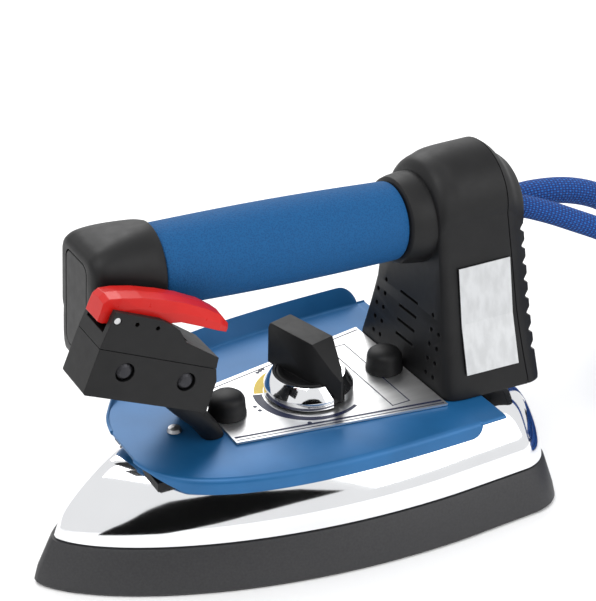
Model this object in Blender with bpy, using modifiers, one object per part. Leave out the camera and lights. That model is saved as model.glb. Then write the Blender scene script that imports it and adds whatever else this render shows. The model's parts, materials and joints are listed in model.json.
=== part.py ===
"""Professional steam iron: soleplate, polished cover, blue heat shield, raised handle, thumb switch
and two braided leads. All dimensions below are millimetres. X runs from nose (-) to heel (+), Y to the
user's right, Z up. The origin is the middle of the sole face, so the floor is Z = 0."""
import math

import bmesh
import bpy
from mathutils import Matrix, Vector

MM = 0.001
GAP = 0.3

# Soleplate and polished cover
NOSE_X = -114.5
HEEL_X = 114.5
SOLE_HALF = 61.5
SOLE_TOP = 19.4
COVER_TOP = 49.4
COVER_WALL = 1.0
# Each level of the cover: height, inset at nose, at the flanks, at the heel, heel corner radius
COVER_LEVELS = ((20.1, 10, 7.4, 4, 17), (27.5, 13.5, 8.6, 4.5, 18), (35, 19.5, 11.8, 5.2, 19),
                (41.5, 26, 16.5, 6.5, 19), (46, 31.5, 22, 8.5, 19), (48.6, 37, 28, 12, 18),
                (COVER_TOP, 44, 35, 19, 14))

# Heat shield and scale plate
SHIELD_NOSE_X = -72.5
SHIELD_REAR_X = 79.0
SHIELD_HALF = 56.0
SHIELD_WALL = 1.2
SHIELD_TOP = 54.0
PLATE_TOP = 55.2
PLATE_WALL = 0.9
PLATE_FRONT_X = -31.2
PLATE_REAR_X = 61.1

# Fastening points and thermostat on the centre line
FRONT_STUD_X = -24.5
REAR_STUD_X = 52.8
KNOB_X = 14.6
STUD_R = 3.0
NUT_R = 8.0
KNOB_R = 19.3
KNOB_TURN = math.radians(14)

# Handle: a straight grip whose axis drops slightly towards the rear
GRIP_FRONT_X = -56.2
GRIP_REAR_X = 53.0
GRIP_END_R = 16.8
GRIP_BARREL = 0.9
ROD_R = 8.0
AXIS_HEIGHT = 129.8
AXIS_SLOPE = -0.05

# Front leg and switch housing
CAP_FRONT_X = -87.2
CAP_LEAN = 0.07
CAP_HALF = 18.2
SWITCH_ORIGIN = (-102.1, 108.4)
SWITCH_PITCH = math.radians(24.5)
SWITCH_FAR_Y = -19.0
SWITCH_NEAR_Y = -39.5
PIN_UV = (3.1, 30.6)

# Rear housing
HOUSING_FRONT_X = 61.5
SEAM_X = 101.5
SEAM_LEAN = -0.05
FRONT_LEAN = 0.1
BACK_X = 109.0
HOUSING_FLOOR = 54.4
HOUSING_WALL = 2.8
RIB_PITCH = 7.3

# Leads: steam hose (far side) and power cable (near side)
HOSE_D = 12.0
CABLE_D = 10.0
HOSE_COIL_R = 66.0
CABLE_COIL_R = 56.0
COIL_CENTRE = (262.0, -45.0)
HOSE_EXIT = (BACK_X, 7.5, 119.0)
HOSE_AIM = (1.0, 0.0, 0.0)
CABLE_EXIT = (BACK_X, -7.4, 125.4)
CABLE_AIM = (0.93, -0.19, -0.31)
HOSE_ROUTE = ((112.4, 7.5, 119), (122, 7.5, 119.1), (134, 7.5, 119.2), (150, 7.2, 117.2), (166, 6.8, 112),
              (180, 8, 103.5), (194, 12, 90), (207, 19, 70), (220, 29, 43), (236, 37, 19), (262, 39.3, 6.6))
CABLE_ROUTE = ((112.1, -8.0, 124.4), (120.3, -9.4, 121.7), (129.8, -11.6, 118), (140.4, -14.3, 113.2),
               (154, -19, 107), (172, -29, 98), (190, -49, 86), (207, -79, 68), (230, -110.5, 43),
               (262, -116.4, 30.2))

LEADS = (("hose", HOSE_EXIT, HOSE_AIM, HOSE_D), ("cable", CABLE_EXIT, CABLE_AIM, CABLE_D))


# ---------------------------------------------------------------- scene helpers

def clear_scene():
    for obj in list(bpy.data.objects):
        bpy.data.objects.remove(obj, do_unlink=True)


def new_collection(name):
    collection = bpy.data.collections.new(name)
    bpy.context.scene.collection.children.link(collection)
    return collection


clear_scene()
PARTS = new_collection("waxing_iron")
CUTTERS = new_collection("cutters")


def material(name, rgb, roughness, metallic=0.0):
    mat = bpy.data.materials.new(name)
    mat.use_nodes = True
    shader = mat.node_tree.nodes["Principled BSDF"]
    shader.inputs["Base Color"].default_value = (*rgb, 1)
    shader.inputs["Roughness"].default_value = roughness
    shader.inputs["Metallic"].default_value = metallic
    mat.diffuse_color = (*rgb, 1)
    return mat


def add_object(name, verts, faces, mat, origin=(0, 0, 0)):
    """A mesh object from millimetre coordinates, with its own origin."""
    mesh = bpy.data.meshes.new(name)
    ox, oy, oz = origin
    mesh.from_pydata([((x - ox) * MM, (y - oy) * MM, (z - oz) * MM) for x, y, z in verts], [], faces)
    bm = bmesh.new()
    bm.from_mesh(mesh)
    bmesh.ops.remove_doubles(bm, verts=bm.verts, dist=1e-6)
    bmesh.ops.recalc_face_normals(bm, faces=bm.faces)
    bm.to_mesh(mesh)
    bm.free()
    obj = bpy.data.objects.new(name, mesh)
    obj.location = (ox * MM, oy * MM, oz * MM)
    if mat is None:
        CUTTERS.objects.link(obj)
        obj.hide_render = True
        obj.display_type = 'WIRE'
    else:
        PARTS.objects.link(obj)
        mesh.materials.append(mat)
    return obj


def loft(name, rings, mat, origin=(0, 0, 0), closed=True, fold=None):
    """Skin equal-length closed loops; the last end is capped, and the first one too if closed.
    An end cap that isn't flat is folded between the two loop positions in fold."""
    n = len(rings[0])
    caps = [list(range(n))]
    if fold:
        caps = [list(range(fold[0] + 1)) + list(range(fold[1], n)), list(range(fold[0], fold[1] + 1))]
    verts = [p for ring in rings for p in ring]
    faces = []
    for k in range(len(rings) - 1):
        a, b = k * n, (k + 1) * n
        faces += [(a + i, a + (i + 1) % n, b + (i + 1) % n, b + i) for i in range(n)]
    for cap in caps:
        faces.append(tuple((len(rings) - 1) * n + i for i in cap))
        if closed:
            faces.append(tuple(cap[::-1]))
    return add_object(name, verts, faces, mat, origin)


def block(name, lo, hi, mat, bevel=0.0):
    """An upright box, optionally with rounded edges."""
    ring = ((lo[0], lo[1]), (hi[0], lo[1]), (hi[0], hi[1]), (lo[0], hi[1]))
    obj = loft(name, [[(x, y, lo[2]) for x, y in ring], [(x, y, hi[2]) for x, y in ring]], mat)
    if bevel:
        round_edges(obj, bevel)
    return obj


def round_edges(obj, width, segments=1, angle=40):
    mod = obj.modifiers.new("Rounding", 'BEVEL')
    mod.width = width * MM
    mod.segments = segments
    mod.limit_method = 'ANGLE'
    mod.angle_limit = math.radians(angle)


def axis_frame(direction):
    """Two unit vectors square to a direction."""
    d = Vector(direction).normalized()
    side = d.orthogonal().normalized()
    return d, side, d.cross(side)


def turned(name, profile, base, direction, steps, mat, origin=None):
    """A body of revolution: profile is (radius, distance along the axis) from one end to the other."""
    origin = base if origin is None else origin
    mesh = bpy.data.meshes.new(name)
    verts = [(r * MM, 0, h * MM) for r, h in profile]
    mesh.from_pydata(verts, [(i, i + 1) for i in range(len(verts) - 1)], [])
    obj = bpy.data.objects.new(name, mesh)
    screw = obj.modifiers.new("Turn", 'SCREW')
    screw.steps = steps
    screw.render_steps = steps
    screw.use_merge_vertices = True
    screw.merge_threshold = 1e-6
    screw.use_normal_calculate = True
    d, side, up = axis_frame(direction)
    turn = Matrix((side, up, d)).transposed().to_4x4()
    bpy.context.scene.collection.objects.link(obj)
    deps = bpy.context.evaluated_depsgraph_get()
    deps.update()
    solid = bpy.data.meshes.new_from_object(obj.evaluated_get(deps))
    bpy.data.objects.remove(obj, do_unlink=True)
    solid.transform(Matrix.Translation(Vector(base) * MM) @ turn)
    points = [tuple(c / MM for c in v.co) for v in solid.vertices]
    faces = [tuple(p.vertices) for p in solid.polygons]
    return add_object(name, points, faces, mat, origin)


def ring_profile(outer, inner, start, end):
    """Closed profile of a plain tube."""
    return ((outer, start), (outer, end), (inner, end), (inner, start), (outer, start))


def rod_profile(radius, start, end):
    return ((0, start), (radius, start), (radius, end), (0, end))


def tube(name, points, diameter, mat, resolution=2, cyclic=False):
    """A round tube along a polyline, as one closed mesh."""
    curve = bpy.data.curves.new(name, 'CURVE')
    curve.dimensions = '3D'
    curve.bevel_depth = diameter / 2 * MM
    curve.bevel_resolution = resolution
    curve.use_fill_caps = True
    spline = curve.splines.new('POLY')
    spline.points.add(len(points) - 1)
    for target, p in zip(spline.points, points):
        target.co = (*[c * MM for c in p], 1)
    spline.use_cyclic_u = cyclic
    obj = bpy.data.objects.new(name, curve)
    bpy.context.scene.collection.objects.link(obj)
    deps = bpy.context.evaluated_depsgraph_get()
    deps.update()
    mesh = bpy.data.meshes.new_from_object(obj.evaluated_get(deps))
    verts = [tuple(c / MM for c in v.co) for v in mesh.vertices]
    faces = [tuple(p.vertices) for p in mesh.polygons]
    bpy.data.objects.remove(obj, do_unlink=True)
    return add_object(name, verts, faces, mat)


def cut(obj, cutter, operation='DIFFERENCE'):
    mod = obj.modifiers.new("Cut", 'BOOLEAN')
    mod.operation = operation
    mod.solver = 'EXACT'
    mod.object = cutter


def drill(obj, name, x, y, radius, lo, hi, steps=16):
    """An upright round hole."""
    cut(obj, turned(name, rod_profile(radius, lo, hi), (x, y, 0), (0, 0, 1), steps, None))


def arc(cx, cy, radius, start, end, count):
    """Points on an arc, both ends included, angles in degrees."""
    angles = [math.radians(start + (end - start) * i / (count - 1)) for i in range(count)]
    return [(cx + radius * math.cos(a), cy + radius * math.sin(a)) for a in angles]


def smooth_path(route, spacing):
    """Evenly spaced points on a Catmull-Rom curve through the route."""
    pts = [Vector(p) for p in route]
    pts = [2 * pts[0] - pts[1]] + pts + [2 * pts[-1] - pts[-2]]
    dense = []
    for i in range(1, len(pts) - 2):
        p0, p1, p2, p3 = pts[i - 1:i + 3]
        for k in range(20):
            t = k / 20
            dense.append(0.5 * (2 * p1 + (p2 - p0) * t + (2 * p0 - 5 * p1 + 4 * p2 - p3) * t ** 2
                                + (3 * p1 - p0 - 3 * p2 + p3) * t ** 3))
    dense.append(pts[-2])
    result = [dense[0]]
    travelled = 0.0
    for a, b in zip(dense, dense[1:]):
        travelled += (b - a).length
        if travelled >= spacing:
            result.append(b)
            travelled = 0.0
    if (result[-1] - dense[-1]).length < spacing * 0.5:
        result.pop()
    result.append(dense[-1])
    return [tuple(p) for p in result]


# ---------------------------------------------------------------- materials

MATERIALS = {
    "sole": material("sole_coating", (0.07, 0.07, 0.072), 0.55, 0.3),
    "cast": material("cast_aluminium", (0.55, 0.55, 0.56), 0.45, 1.0),
    "chrome": material("polished_steel", (0.85, 0.85, 0.87), 0.06, 1.0),
    "steel": material("zinc_steel", (0.6, 0.6, 0.62), 0.35, 1.0),
    "oxide": material("black_oxide", (0.05, 0.05, 0.055), 0.4, 1.0),
    "brass": material("brass", (0.72, 0.55, 0.25), 0.3, 1.0),
    "shield": material("blue_anodised", (0.02, 0.16, 0.45), 0.3, 0.6),
    "plate": material("satin_aluminium", (0.8, 0.8, 0.8), 0.35, 0.7),
    "black": material("black_plastic", (0.015, 0.015, 0.016), 0.4),
    "grip": material("blue_grip", (0.03, 0.15, 0.45), 0.75),
    "red": material("red_plastic", (0.6, 0.02, 0.02), 0.3),
    "label": material("silver_label", (0.75, 0.75, 0.76), 0.4, 0.3),
    "braid": material("blue_braid", (0.02, 0.10, 0.42), 0.85),
    "seal": material("grey_seal", (0.3, 0.3, 0.3), 0.8),
    "ceramic": material("white_insulator", (0.75, 0.73, 0.68), 0.5),
}


# ---------------------------------------------------------------- outlines

def iron_outline(nose=0.0, flank=0.0, heel=0.0, corner=18.0):
    """Plan of the iron drawn in by the given insets: a pointed arch with a rounded square heel."""
    x0, x1, half = NOSE_X + nose, HEEL_X - heel, SOLE_HALF - flank
    length = x1 - x0
    full = 0.76 * length
    side = []
    for d in (0.006, 0.025, 0.06, 0.11, 0.18, 0.27, 0.38, 0.52, 0.68, 0.85, 1.0):
        side.append((x0 + d * full, half * (1 - (1 - d) ** 2) ** 0.7))
    end_half = half * 0.985
    side += arc(x1 - corner, end_half - corner, corner, 90, 0, 6)
    return side + [(x, -y) for x, y in reversed(side)]


def level(outline, z):
    return [(x, y, z) for x, y in outline]


def shield_half(x):
    """Half-width of the shield: one quarter of a superellipse."""
    reach = (SHIELD_REAR_X - x) / (SHIELD_REAR_X - SHIELD_NOSE_X)
    return SHIELD_HALF * max(0.0, 1 - reach ** 2.9) ** (1 / 2.9)


def axis_z(x):
    return AXIS_HEIGHT + AXIS_SLOPE * x


HANDLE_AXIS = (1.0, 0.0, AXIS_SLOPE)


def switch_point(u, v, y):
    """Switch housing coordinates: u back along its base, v square to it."""
    x0, z0 = SWITCH_ORIGIN
    c, s = math.cos(SWITCH_PITCH), math.sin(SWITCH_PITCH)
    return (x0 + u * c + v * s, y, z0 - u * s + v * c)


def switch_prism(name, outline, y0, y1, mat, origin=(0, 0, 0)):
    return loft(name, [[switch_point(u, v, y) for u, v in outline] for y in (y0, y1)], mat, origin)


# ---------------------------------------------------------------- sole, heater and cover

def build_sole():
    # Levels: height, then the insets at nose, flanks and heel
    levels = ((0, 1.2, 1.0, 1.0), (1.4, 0, 0, 0), (6, 1.4, 1.2, 0.6), (18.3, 7.6, 5.8, 3.0),
              (SOLE_TOP, 8.8, 6.8, 4.0))
    sole = loft("soleplate", [level(iron_outline(n, f, h), z) for z, n, f, h in levels], MATERIALS["sole"])
    pocket = loft("heater_pocket", [level(iron_outline(28, 17, 18, 12), z) for z in (9, 30)], None)
    cut(sole, pocket)
    vents = [(-66 + 11 * i, side * (4 + 2.9 * i)) for i in range(7) for side in (-1, 1)]
    for i, (x, y) in enumerate(vents):
        drill(sole, f"steam_vent_{i}", x, y, 1.6, -2, 12, 8)


def build_heating():
    outline = iron_outline(50, 31, 32, 10)
    chamber = loft("steam_chamber", [level(outline, z) for z in (10.4, 19.8)], MATERIALS["cast"])
    cut(chamber, loft("chamber_hollow", [level(iron_outline(56, 34.5, 36, 8), z) for z in (8, 16.5)], None))
    drill(chamber, "steam_inlet", 72, 8, 2.2, 15, 22, 12)
    gasket = loft("chamber_gasket", [level(outline, z) for z in (9.2, 10.2)], MATERIALS["seal"])
    cut(gasket, loft("gasket_inside", [level(iron_outline(56, 34.5, 36, 8), z) for z in (8, 12)], None))
    bend = [(x, y, 14.2) for x, y in iron_outline(39, 24, 25, 10)[4:-4]]
    tube("heating_element", [(-58, 14, 14.2)] + bend + [(-58, -14, 14.2)], 7.0, MATERIALS["steel"], 2)
    block("thermostat_body", (KNOB_X - 15, -12, 20.1), (KNOB_X + 15, 12, 33), MATERIALS["ceramic"], 1.0)
    turned("thermostat_shaft", rod_profile(3.0, 33.3, 62), (KNOB_X, 0, 0), (0, 0, 1), 16, MATERIALS["brass"])
    turned("thermal_fuse", rod_profile(3.2, -11, 11), (48, -17, 23.4), (1, 0, 0), 12, MATERIALS["steel"])


def build_cover():
    rings = [level(iron_outline(n, f, h, c), z) for z, n, f, h, c in COVER_LEVELS]
    cover = loft("chrome_cover", rings, MATERIALS["chrome"], closed=False)
    shell = cover.modifiers.new("Wall", 'SOLIDIFY')
    shell.thickness = COVER_WALL * MM
    shell.offset = -1
    for name, x, radius in (("front", FRONT_STUD_X, STUD_R + 0.4), ("shaft", KNOB_X, 4.5),
                            ("rear", REAR_STUD_X, STUD_R + 0.4)):
        drill(cover, f"cover_hole_{name}", x, 0, radius, 40, 60)
    cut(cover, block("cover_service_opening", (64, -14, 40), (78, 14, 60), None))


def build_studs():
    for name, x in (("front", FRONT_STUD_X), ("rear", REAR_STUD_X)):
        turned(f"{name}_stud", rod_profile(STUD_R, 20.2, 61.5), (x, 0, 0), (0, 0, 1), 12, MATERIALS["steel"])
        base = PLATE_TOP + GAP
        nut = ((STUD_R + GAP, 0), (NUT_R + 0.3, 0), (NUT_R + 0.3, 1.0), (NUT_R, 1.6), (NUT_R - 0.2, 6.2),
               (NUT_R - 1.1, 8.3), (NUT_R - 3.3, 9.6), (2.4, 10.1), (0, 10.2), (0, 6.9), (STUD_R + GAP, 6.9),
               (STUD_R + GAP, 0))
        turned(f"{name}_cap_nut", nut, (x, 0, base), (0, 0, 1), 24, MATERIALS["black"])
        spacer = ring_profile(8.5, STUD_R + GAP, COVER_TOP + GAP, SHIELD_TOP - SHIELD_WALL - GAP)
        turned(f"{name}_spacer", spacer, (x, 0, 0), (0, 0, 1), 20, MATERIALS["ceramic"])


# ---------------------------------------------------------------- shield and scale plate

def shield_heights(x):
    """Depth of the near skirt and height of the far flange at a station."""
    d = x - SHIELD_NOSE_X

    def edge(full, start, rise, end, run_out):
        if d < end:
            return min(full, rise * max(0.0, d - start))
        return full * math.sqrt(max(0.0, 1 - ((d - end) / run_out) ** 2))

    return max(edge(6.0, 1, 0.5, 134, 5.5), 0.8), max(edge(9.0, 4, 0.4, 138, 8.5), 0.8)


def build_shield():
    distances = (0.5, 2, 5, 10, 17, 27, 40, 56, 76, 98, 120, 134, 137, 138.8, 139.6, 143, 145.5, 146.5, 151.5)
    mid = SHIELD_TOP - SHIELD_WALL / 2
    rows = []
    for d in distances:
        x = SHIELD_NOSE_X + d
        w = shield_half(x)
        skirt, flange = shield_heights(x)
        far = w * 1.07
        s, f = min(1.0, skirt / 3), min(1.0, flange / 3)
        row = ((-w - 0.4 * s, mid - skirt), (-w, mid - 1.4 * s), (-w + 0.6 * s, mid - 0.4 * s),
               (-w + 1.7 * s, mid), (0, mid), (far - 2.4 * f, mid), (far - 0.8 * f, mid + 0.6 * f),
               (far + 0.4 * f, mid + 2.0 * f), (far + 0.45 * flange, mid + flange))
        rows.append([(x, y, z) for y, z in row])
    n = len(rows[0])
    verts = [p for row in rows for p in row]
    faces = [(k * n + i, k * n + i + 1, (k + 1) * n + i + 1, (k + 1) * n + i)
             for k in range(len(rows) - 1) for i in range(n - 1)]
    shield = add_object("heat_shield", verts, faces, MATERIALS["shield"])
    wall = shield.modifiers.new("Wall", 'SOLIDIFY')
    wall.thickness = SHIELD_WALL * MM
    wall.offset = 0
    for name, x, radius in (("front", FRONT_STUD_X, STUD_R + 0.4), ("shaft", KNOB_X, 4.5),
                            ("rear", REAR_STUD_X, STUD_R + 0.4), ("screw", SHIELD_NOSE_X + 23.5, 1.9)):
        drill(shield, f"shield_hole_{name}", x, 0, radius, 48, 60)
    cut(shield, block("shield_service_opening", (64.5, -14, 48), (76, 14, 60), None))
    screw = ((0, 0), (1.6, 0), (1.6, 4.6), (3.2, 4.8), (2.6, 6.2), (0, 6.6))
    screw_x = SHIELD_NOSE_X + 23.5
    turned("shield_screw", screw, (screw_x, 0, SHIELD_TOP - 4.4), (0, 0, 1), 16, MATERIALS["steel"])
    # A stepped block: its wide foot clears the skirt, its narrower head carries the shield
    foot = ((-68.5, -26), (-57, -26), (-57, -8), (-45, -8), (-45, 8), (-57, 8), (-57, 18), (-68.5, 18))
    head = ((-64, -20), (-57.5, -20), (-57.5, -7), (-46, -7), (-46, 7), (-57.5, 7), (-57.5, 16), (-64, 16))
    spacer = loft("front_insulator", [level(foot, 45.8), level(foot, 49.8), level(head, 49.8),
                                      level(head, SHIELD_TOP - SHIELD_WALL - GAP)], MATERIALS["black"])
    cut(spacer, loft("insulator_seat", [level(iron_outline(n - 0.3, f - 0.3, h, c), z + GAP)
                                        for z, n, f, h, c in COVER_LEVELS[2:]], None))
    drill(spacer, "insulator_hole", screw_x, 0, 1.9, 40, 60)


def build_scale_plate():
    outline = ((PLATE_FRONT_X, -22), (PLATE_REAR_X, -38.2), (PLATE_REAR_X, 38.2), (PLATE_FRONT_X, 22))
    plate = loft("scale_plate", [level(outline, PLATE_TOP - PLATE_WALL), level(outline, PLATE_TOP)],
                 MATERIALS["plate"])
    for name, x, radius in (("front", FRONT_STUD_X, STUD_R + 0.4), ("shaft", KNOB_X, 4.0),
                            ("rear", REAR_STUD_X, STUD_R + 0.4)):
        drill(plate, f"plate_hole_{name}", x, 0, radius, 50, 60)


def build_knob():
    base = PLATE_TOP + 0.8
    disc = ((3.3, 0), (KNOB_R - 2.2, 0), (KNOB_R - 2.2, 3.6), (KNOB_R - 5.4, 9.2), (KNOB_R - 7.5, 9.6),
            (0, 8.6), (0, 6.8), (3.3, 6.8), (3.3, 0))
    knob = turned("thermostat_knob", disc, (KNOB_X, 0, base), (0, 0, 1), 36, MATERIALS["black"])
    c, s = math.cos(KNOB_TURN), math.sin(KNOB_TURN)

    def place(along, across, z):
        return (KNOB_X + s * along + c * across, -c * along + s * across, base + z)

    # The grip bar: (distance towards the pointer, half-width, low and high level) at each station
    stations = ((-19.2, 6.0, 8.0, 22.5), (-18.0, 6.6, 8.0, 27.3), (8.4, 6.6, 7.5, 27.3),
                (17.0, 3.2, 6.5, 17.0), (20.6, 0.7, 2.2, 12.4))
    rings = [[place(a, -w, lo), place(a, w, lo), place(a, w * 0.9, hi), place(a, -w * 0.9, hi)]
             for a, w, lo, hi in stations]
    cut(knob, loft("knob_bar", rings, None), 'UNION')
    ring = ((KNOB_R - 1.9, 0.2), (KNOB_R, 0.2), (KNOB_R, 3.8), (KNOB_R - 3.6, 9.4), (KNOB_R - 5.0, 9.4),
            (KNOB_R - 1.9, 4.0), (KNOB_R - 1.9, 0.2))
    trim = turned("knob_ring", ring, (KNOB_X, 0, base), (0, 0, 1), 36, MATERIALS["chrome"])
    notch = [[place(a, -w - 0.4, lo - 0.4), place(a, w + 0.4, lo - 0.4), place(a, w + 0.4, hi + 0.5),
              place(a, -w - 0.4, hi + 0.5)] for a, w, lo, hi in
             ((8.0, 6.7, 0.8, 27), (17.2, 3.4, -1.0, 18), (24.0, 1.0, -1.5, 14))]
    cut(trim, loft("ring_notch", notch, None))
    rear = [[place(a, y, z) for y, z in ((-6.9, 6.9), (6.9, 6.9), (6.9, 30), (-6.9, 30))] for a in (-24, -9)]
    cut(trim, loft("ring_rear_notch", rear, None))


# ---------------------------------------------------------------- handle, leg and cap

def build_handle():
    length = GRIP_REAR_X - GRIP_FRONT_X
    outer = [(GRIP_END_R - 0.8, 0), (GRIP_END_R, 0.8)]
    outer += [(GRIP_END_R + GRIP_BARREL * math.sin(math.pi * i / 6), length * i / 6) for i in range(1, 6)]
    outer += [(GRIP_END_R, length - 0.8), (GRIP_END_R - 0.8, length)]
    profile = outer + [(ROD_R + GAP, length), (ROD_R + GAP, 0), outer[0]]
    at = (GRIP_FRONT_X, 0, axis_z(GRIP_FRONT_X))
    turned("handle_grip", profile, at, HANDLE_AXIS, 40, MATERIALS["grip"])
    turned("handle_tube", ring_profile(ROD_R, ROD_R - 1.5, -17, length + 17), at, HANDLE_AXIS, 24,
           MATERIALS["steel"])


def rounded_section(half_y, low, high, radius, x, lean=0.0):
    """A rounded rectangle square to X; lean tips it back about its middle height."""
    radius = min(radius, half_y - 0.05, (high - low) / 2 - 0.05)
    side, top, bottom = half_y - radius, high - radius, low + radius
    pts = arc(side, top, radius, 0, 90, 5) + arc(-side, top, radius, 90, 180, 5)
    pts += arc(-side, bottom, radius, 180, 270, 5) + arc(side, bottom, radius, 270, 360, 5)
    return [(x + lean * (z - (low + high) / 2), y, z) for y, z in pts]


def flat_section(x0, x1, half_y, radius, z):
    """A rounded rectangle lying flat at a height."""
    radius = min(radius, half_y - 0.05, (x1 - x0) / 2 - 0.05)
    side, front, back = half_y - radius, x0 + radius, x1 - radius
    pts = arc(back, side, radius, 0, 90, 4) + arc(front, side, radius, 90, 180, 4)
    pts += arc(front, -side, radius, 180, 270, 4) + arc(back, -side, radius, 270, 360, 4)
    return [(x, y, z) for x, y in pts]


def build_front_leg():
    """The moulded front support: handle cap on top, leg sweeping back to a foot on the shield."""
    z0 = SHIELD_TOP + GAP
    levels = ((z0, -41.5, -31.6, 14.4, 4.5), (z0 + 4, -43.4, -33.4, 15.2, 4.5),
              (z0 + 9, -47.6, -36.6, 16.2, 5),
              (z0 + 15, -53, -41.5, 17, 5), (z0 + 25, -62, -49, 17.6, 6), (z0 + 34, -74, -55, 18, 6),
              (z0 + 42, CAP_FRONT_X + 1.6, -58.5, 18.2, 6), (z0 + 47, CAP_FRONT_X - 1.7, -59, 18.2, 6),
              (z0 + 72, CAP_FRONT_X - 0.1, -60, 18.2, 6))
    leg = loft("front_leg", [flat_section(x0, x1, w, r, z) for z, x0, x1, w, r in levels], MATERIALS["black"])
    mid = axis_z(-70)
    # Stations: (x, half-width, depth below the axis, height above it, corner radius, lean)
    front = CAP_FRONT_X
    stations = ((front, 14.0, 17, 11.8, 4.5, CAP_LEAN), (front + 1.6, 16.6, 20, 14.2, 6.5, CAP_LEAN),
                (front + 5, CAP_HALF, 21, 16.0, 9, CAP_LEAN), (-74, 18.4, 19.5, 17.6, 12, 0.05),
                (-62, 18.2, 18.2, 18.2, 16, 0.05), (GRIP_FRONT_X - 1.2, 17.8, 17.8, 17.8, 17.7, 0.05),
                (GRIP_FRONT_X - GAP, 17.2, 17.2, 17.2, 17.1, 0.05))
    cap = loft("cap_form", [rounded_section(h, mid - low, mid + high, r, x, lean)
                            for x, h, low, high, r, lean in stations], None)
    cut(leg, cap, 'UNION')
    bore_x = GRIP_FRONT_X - 17.3
    bore_at = (bore_x, 0, axis_z(bore_x))
    cut(leg, turned("cap_bore", rod_profile(ROD_R + GAP, 0, 40), bore_at, HANDLE_AXIS, 24, None))
    recess = [rounded_section(10.6, 103, mid + 10.6, 4, x, CAP_LEAN) for x in (front - 6, front + 2.0)]
    cut(leg, loft("cap_recess", recess, None))
    insert = loft("cap_insert", [rounded_section(10.1, 103.5, mid + 10.1, 3.6, x, CAP_LEAN)
                                 for x in (front - 0.5, front + 1.7)], MATERIALS["black"])
    round_edges(insert, 0.3)
    drill(leg, "nut_clearance", FRONT_STUD_X, 0, NUT_R + 0.8, 50, 72, 24)
    screw_x = -36.6
    for side, y in (("left", -8), ("right", 8)):
        drill(leg, f"leg_screw_hole_{side}", screw_x, y, 1.8, 50, 61, 12)
        drill(bpy.data.objects["heat_shield"], f"shield_leg_hole_{side}", screw_x, y, 1.9, 48, 60, 12)
        screw = ((0, 0), (3.0, 0), (3.0, 1.5), (1.5, 1.8), (1.5, 11.2), (0, 11.2))
        turned(f"leg_screw_{side}", screw, (screw_x, y, COVER_TOP + 0.4), (0, 0, 1), 12, MATERIALS["steel"])


# ---------------------------------------------------------------- thumb switch

def build_switch():
    near, far = SWITCH_NEAR_Y, SWITCH_FAR_Y
    lower_form = ((0.8, 0), (54, 0), (54.2, 0.6), (53.4, 13.7), (51.3, 18.4), (0, 18.8), (0, 0.8))
    lower = switch_prism("switch_base", lower_form, near, far, MATERIALS["black"])
    hollow = ((2.6, 2.6), (50.6, 2.6), (50.2, 13), (48.4, 21), (2.6, 21))
    cut(lower, switch_prism("switch_hollow", hollow, near + 2.6, far - 2.6, None))
    upper_form = ((0, 19.1), (51.2, 18.7), (50.4, 23.2), (34, 27.2), (29.6, 31.4), (25.2, 33.0),
                  (20.8, 34.0), (0.9, 34.0))
    upper = switch_prism("switch_top", upper_form, near, far, MATERIALS["black"])
    channel = ((-2, 24.5), (36, 24.5), (38, 36), (-2, 36))
    cut(upper, switch_prism("lever_channel", channel, near + 2.6, far - 2.6, None))
    hole = ((20.2, 17), (23.8, 17), (23.8, 26), (20.2, 26))
    cut(upper, switch_prism("plunger_hole", hole, -31.4, -27.4, None))
    across = (0, -1, 0)
    pin_at = switch_point(*PIN_UV, far - 0.4)
    cut(upper, turned("pin_bore", rod_profile(1.5, -3, 24), pin_at, across, 12, None))
    for i, u in enumerate((11.3, 20.2)):
        start = switch_point(u, 30.7, near + 2.0)
        cut(upper, turned(f"setting_hole_{i}", rod_profile(0.9, -1, 4), start, across, 10, None))
    turned("lever_pin", rod_profile(1.3, 0, far - near - 0.8), pin_at, across, 12, MATERIALS["steel"])
    for side, u in (("front", 13.6), ("rear", 40.5)):
        head = switch_point(u, 11.4, near)
        cut(lower, turned(f"screw_recess_{side}", rod_profile(3.9, -2.6, 3), head, across, 20, None))
        cut(lower, turned(f"screw_bore_{side}", rod_profile(1.7, -18.8, 3), head, across, 12, None))
        screw = ((0, -18.4), (1.4, -18.4), (1.4, -2.2), (3.4, -2.1), (3.4, -0.9), (2.2, 0.0), (0, 0.2))
        turned(f"switch_screw_{side}", screw, head, across, 16, MATERIALS["oxide"])
    body = switch_prism("microswitch", ((17.8, 5), (36.2, 5), (36.2, 15), (17.8, 15)), -34.2, -24.6,
                        MATERIALS["ceramic"])
    pocket = ((19.8, 12.4), (24.2, 12.4), (24.2, 17), (19.8, 17))
    cut(body, switch_prism("plunger_pocket", pocket, -31.6, -27.2, None))
    tip = switch_point(22, 15.3, -29.4)
    stem = ((20.6, 15.3), (23.4, 15.3), (23.4, 30.4), (20.6, 30.4))
    plunger = switch_prism("switch_plunger", stem, -30.8, -28.0, MATERIALS["red"], tip)
    round_edges(plunger, 0.3)


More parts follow.
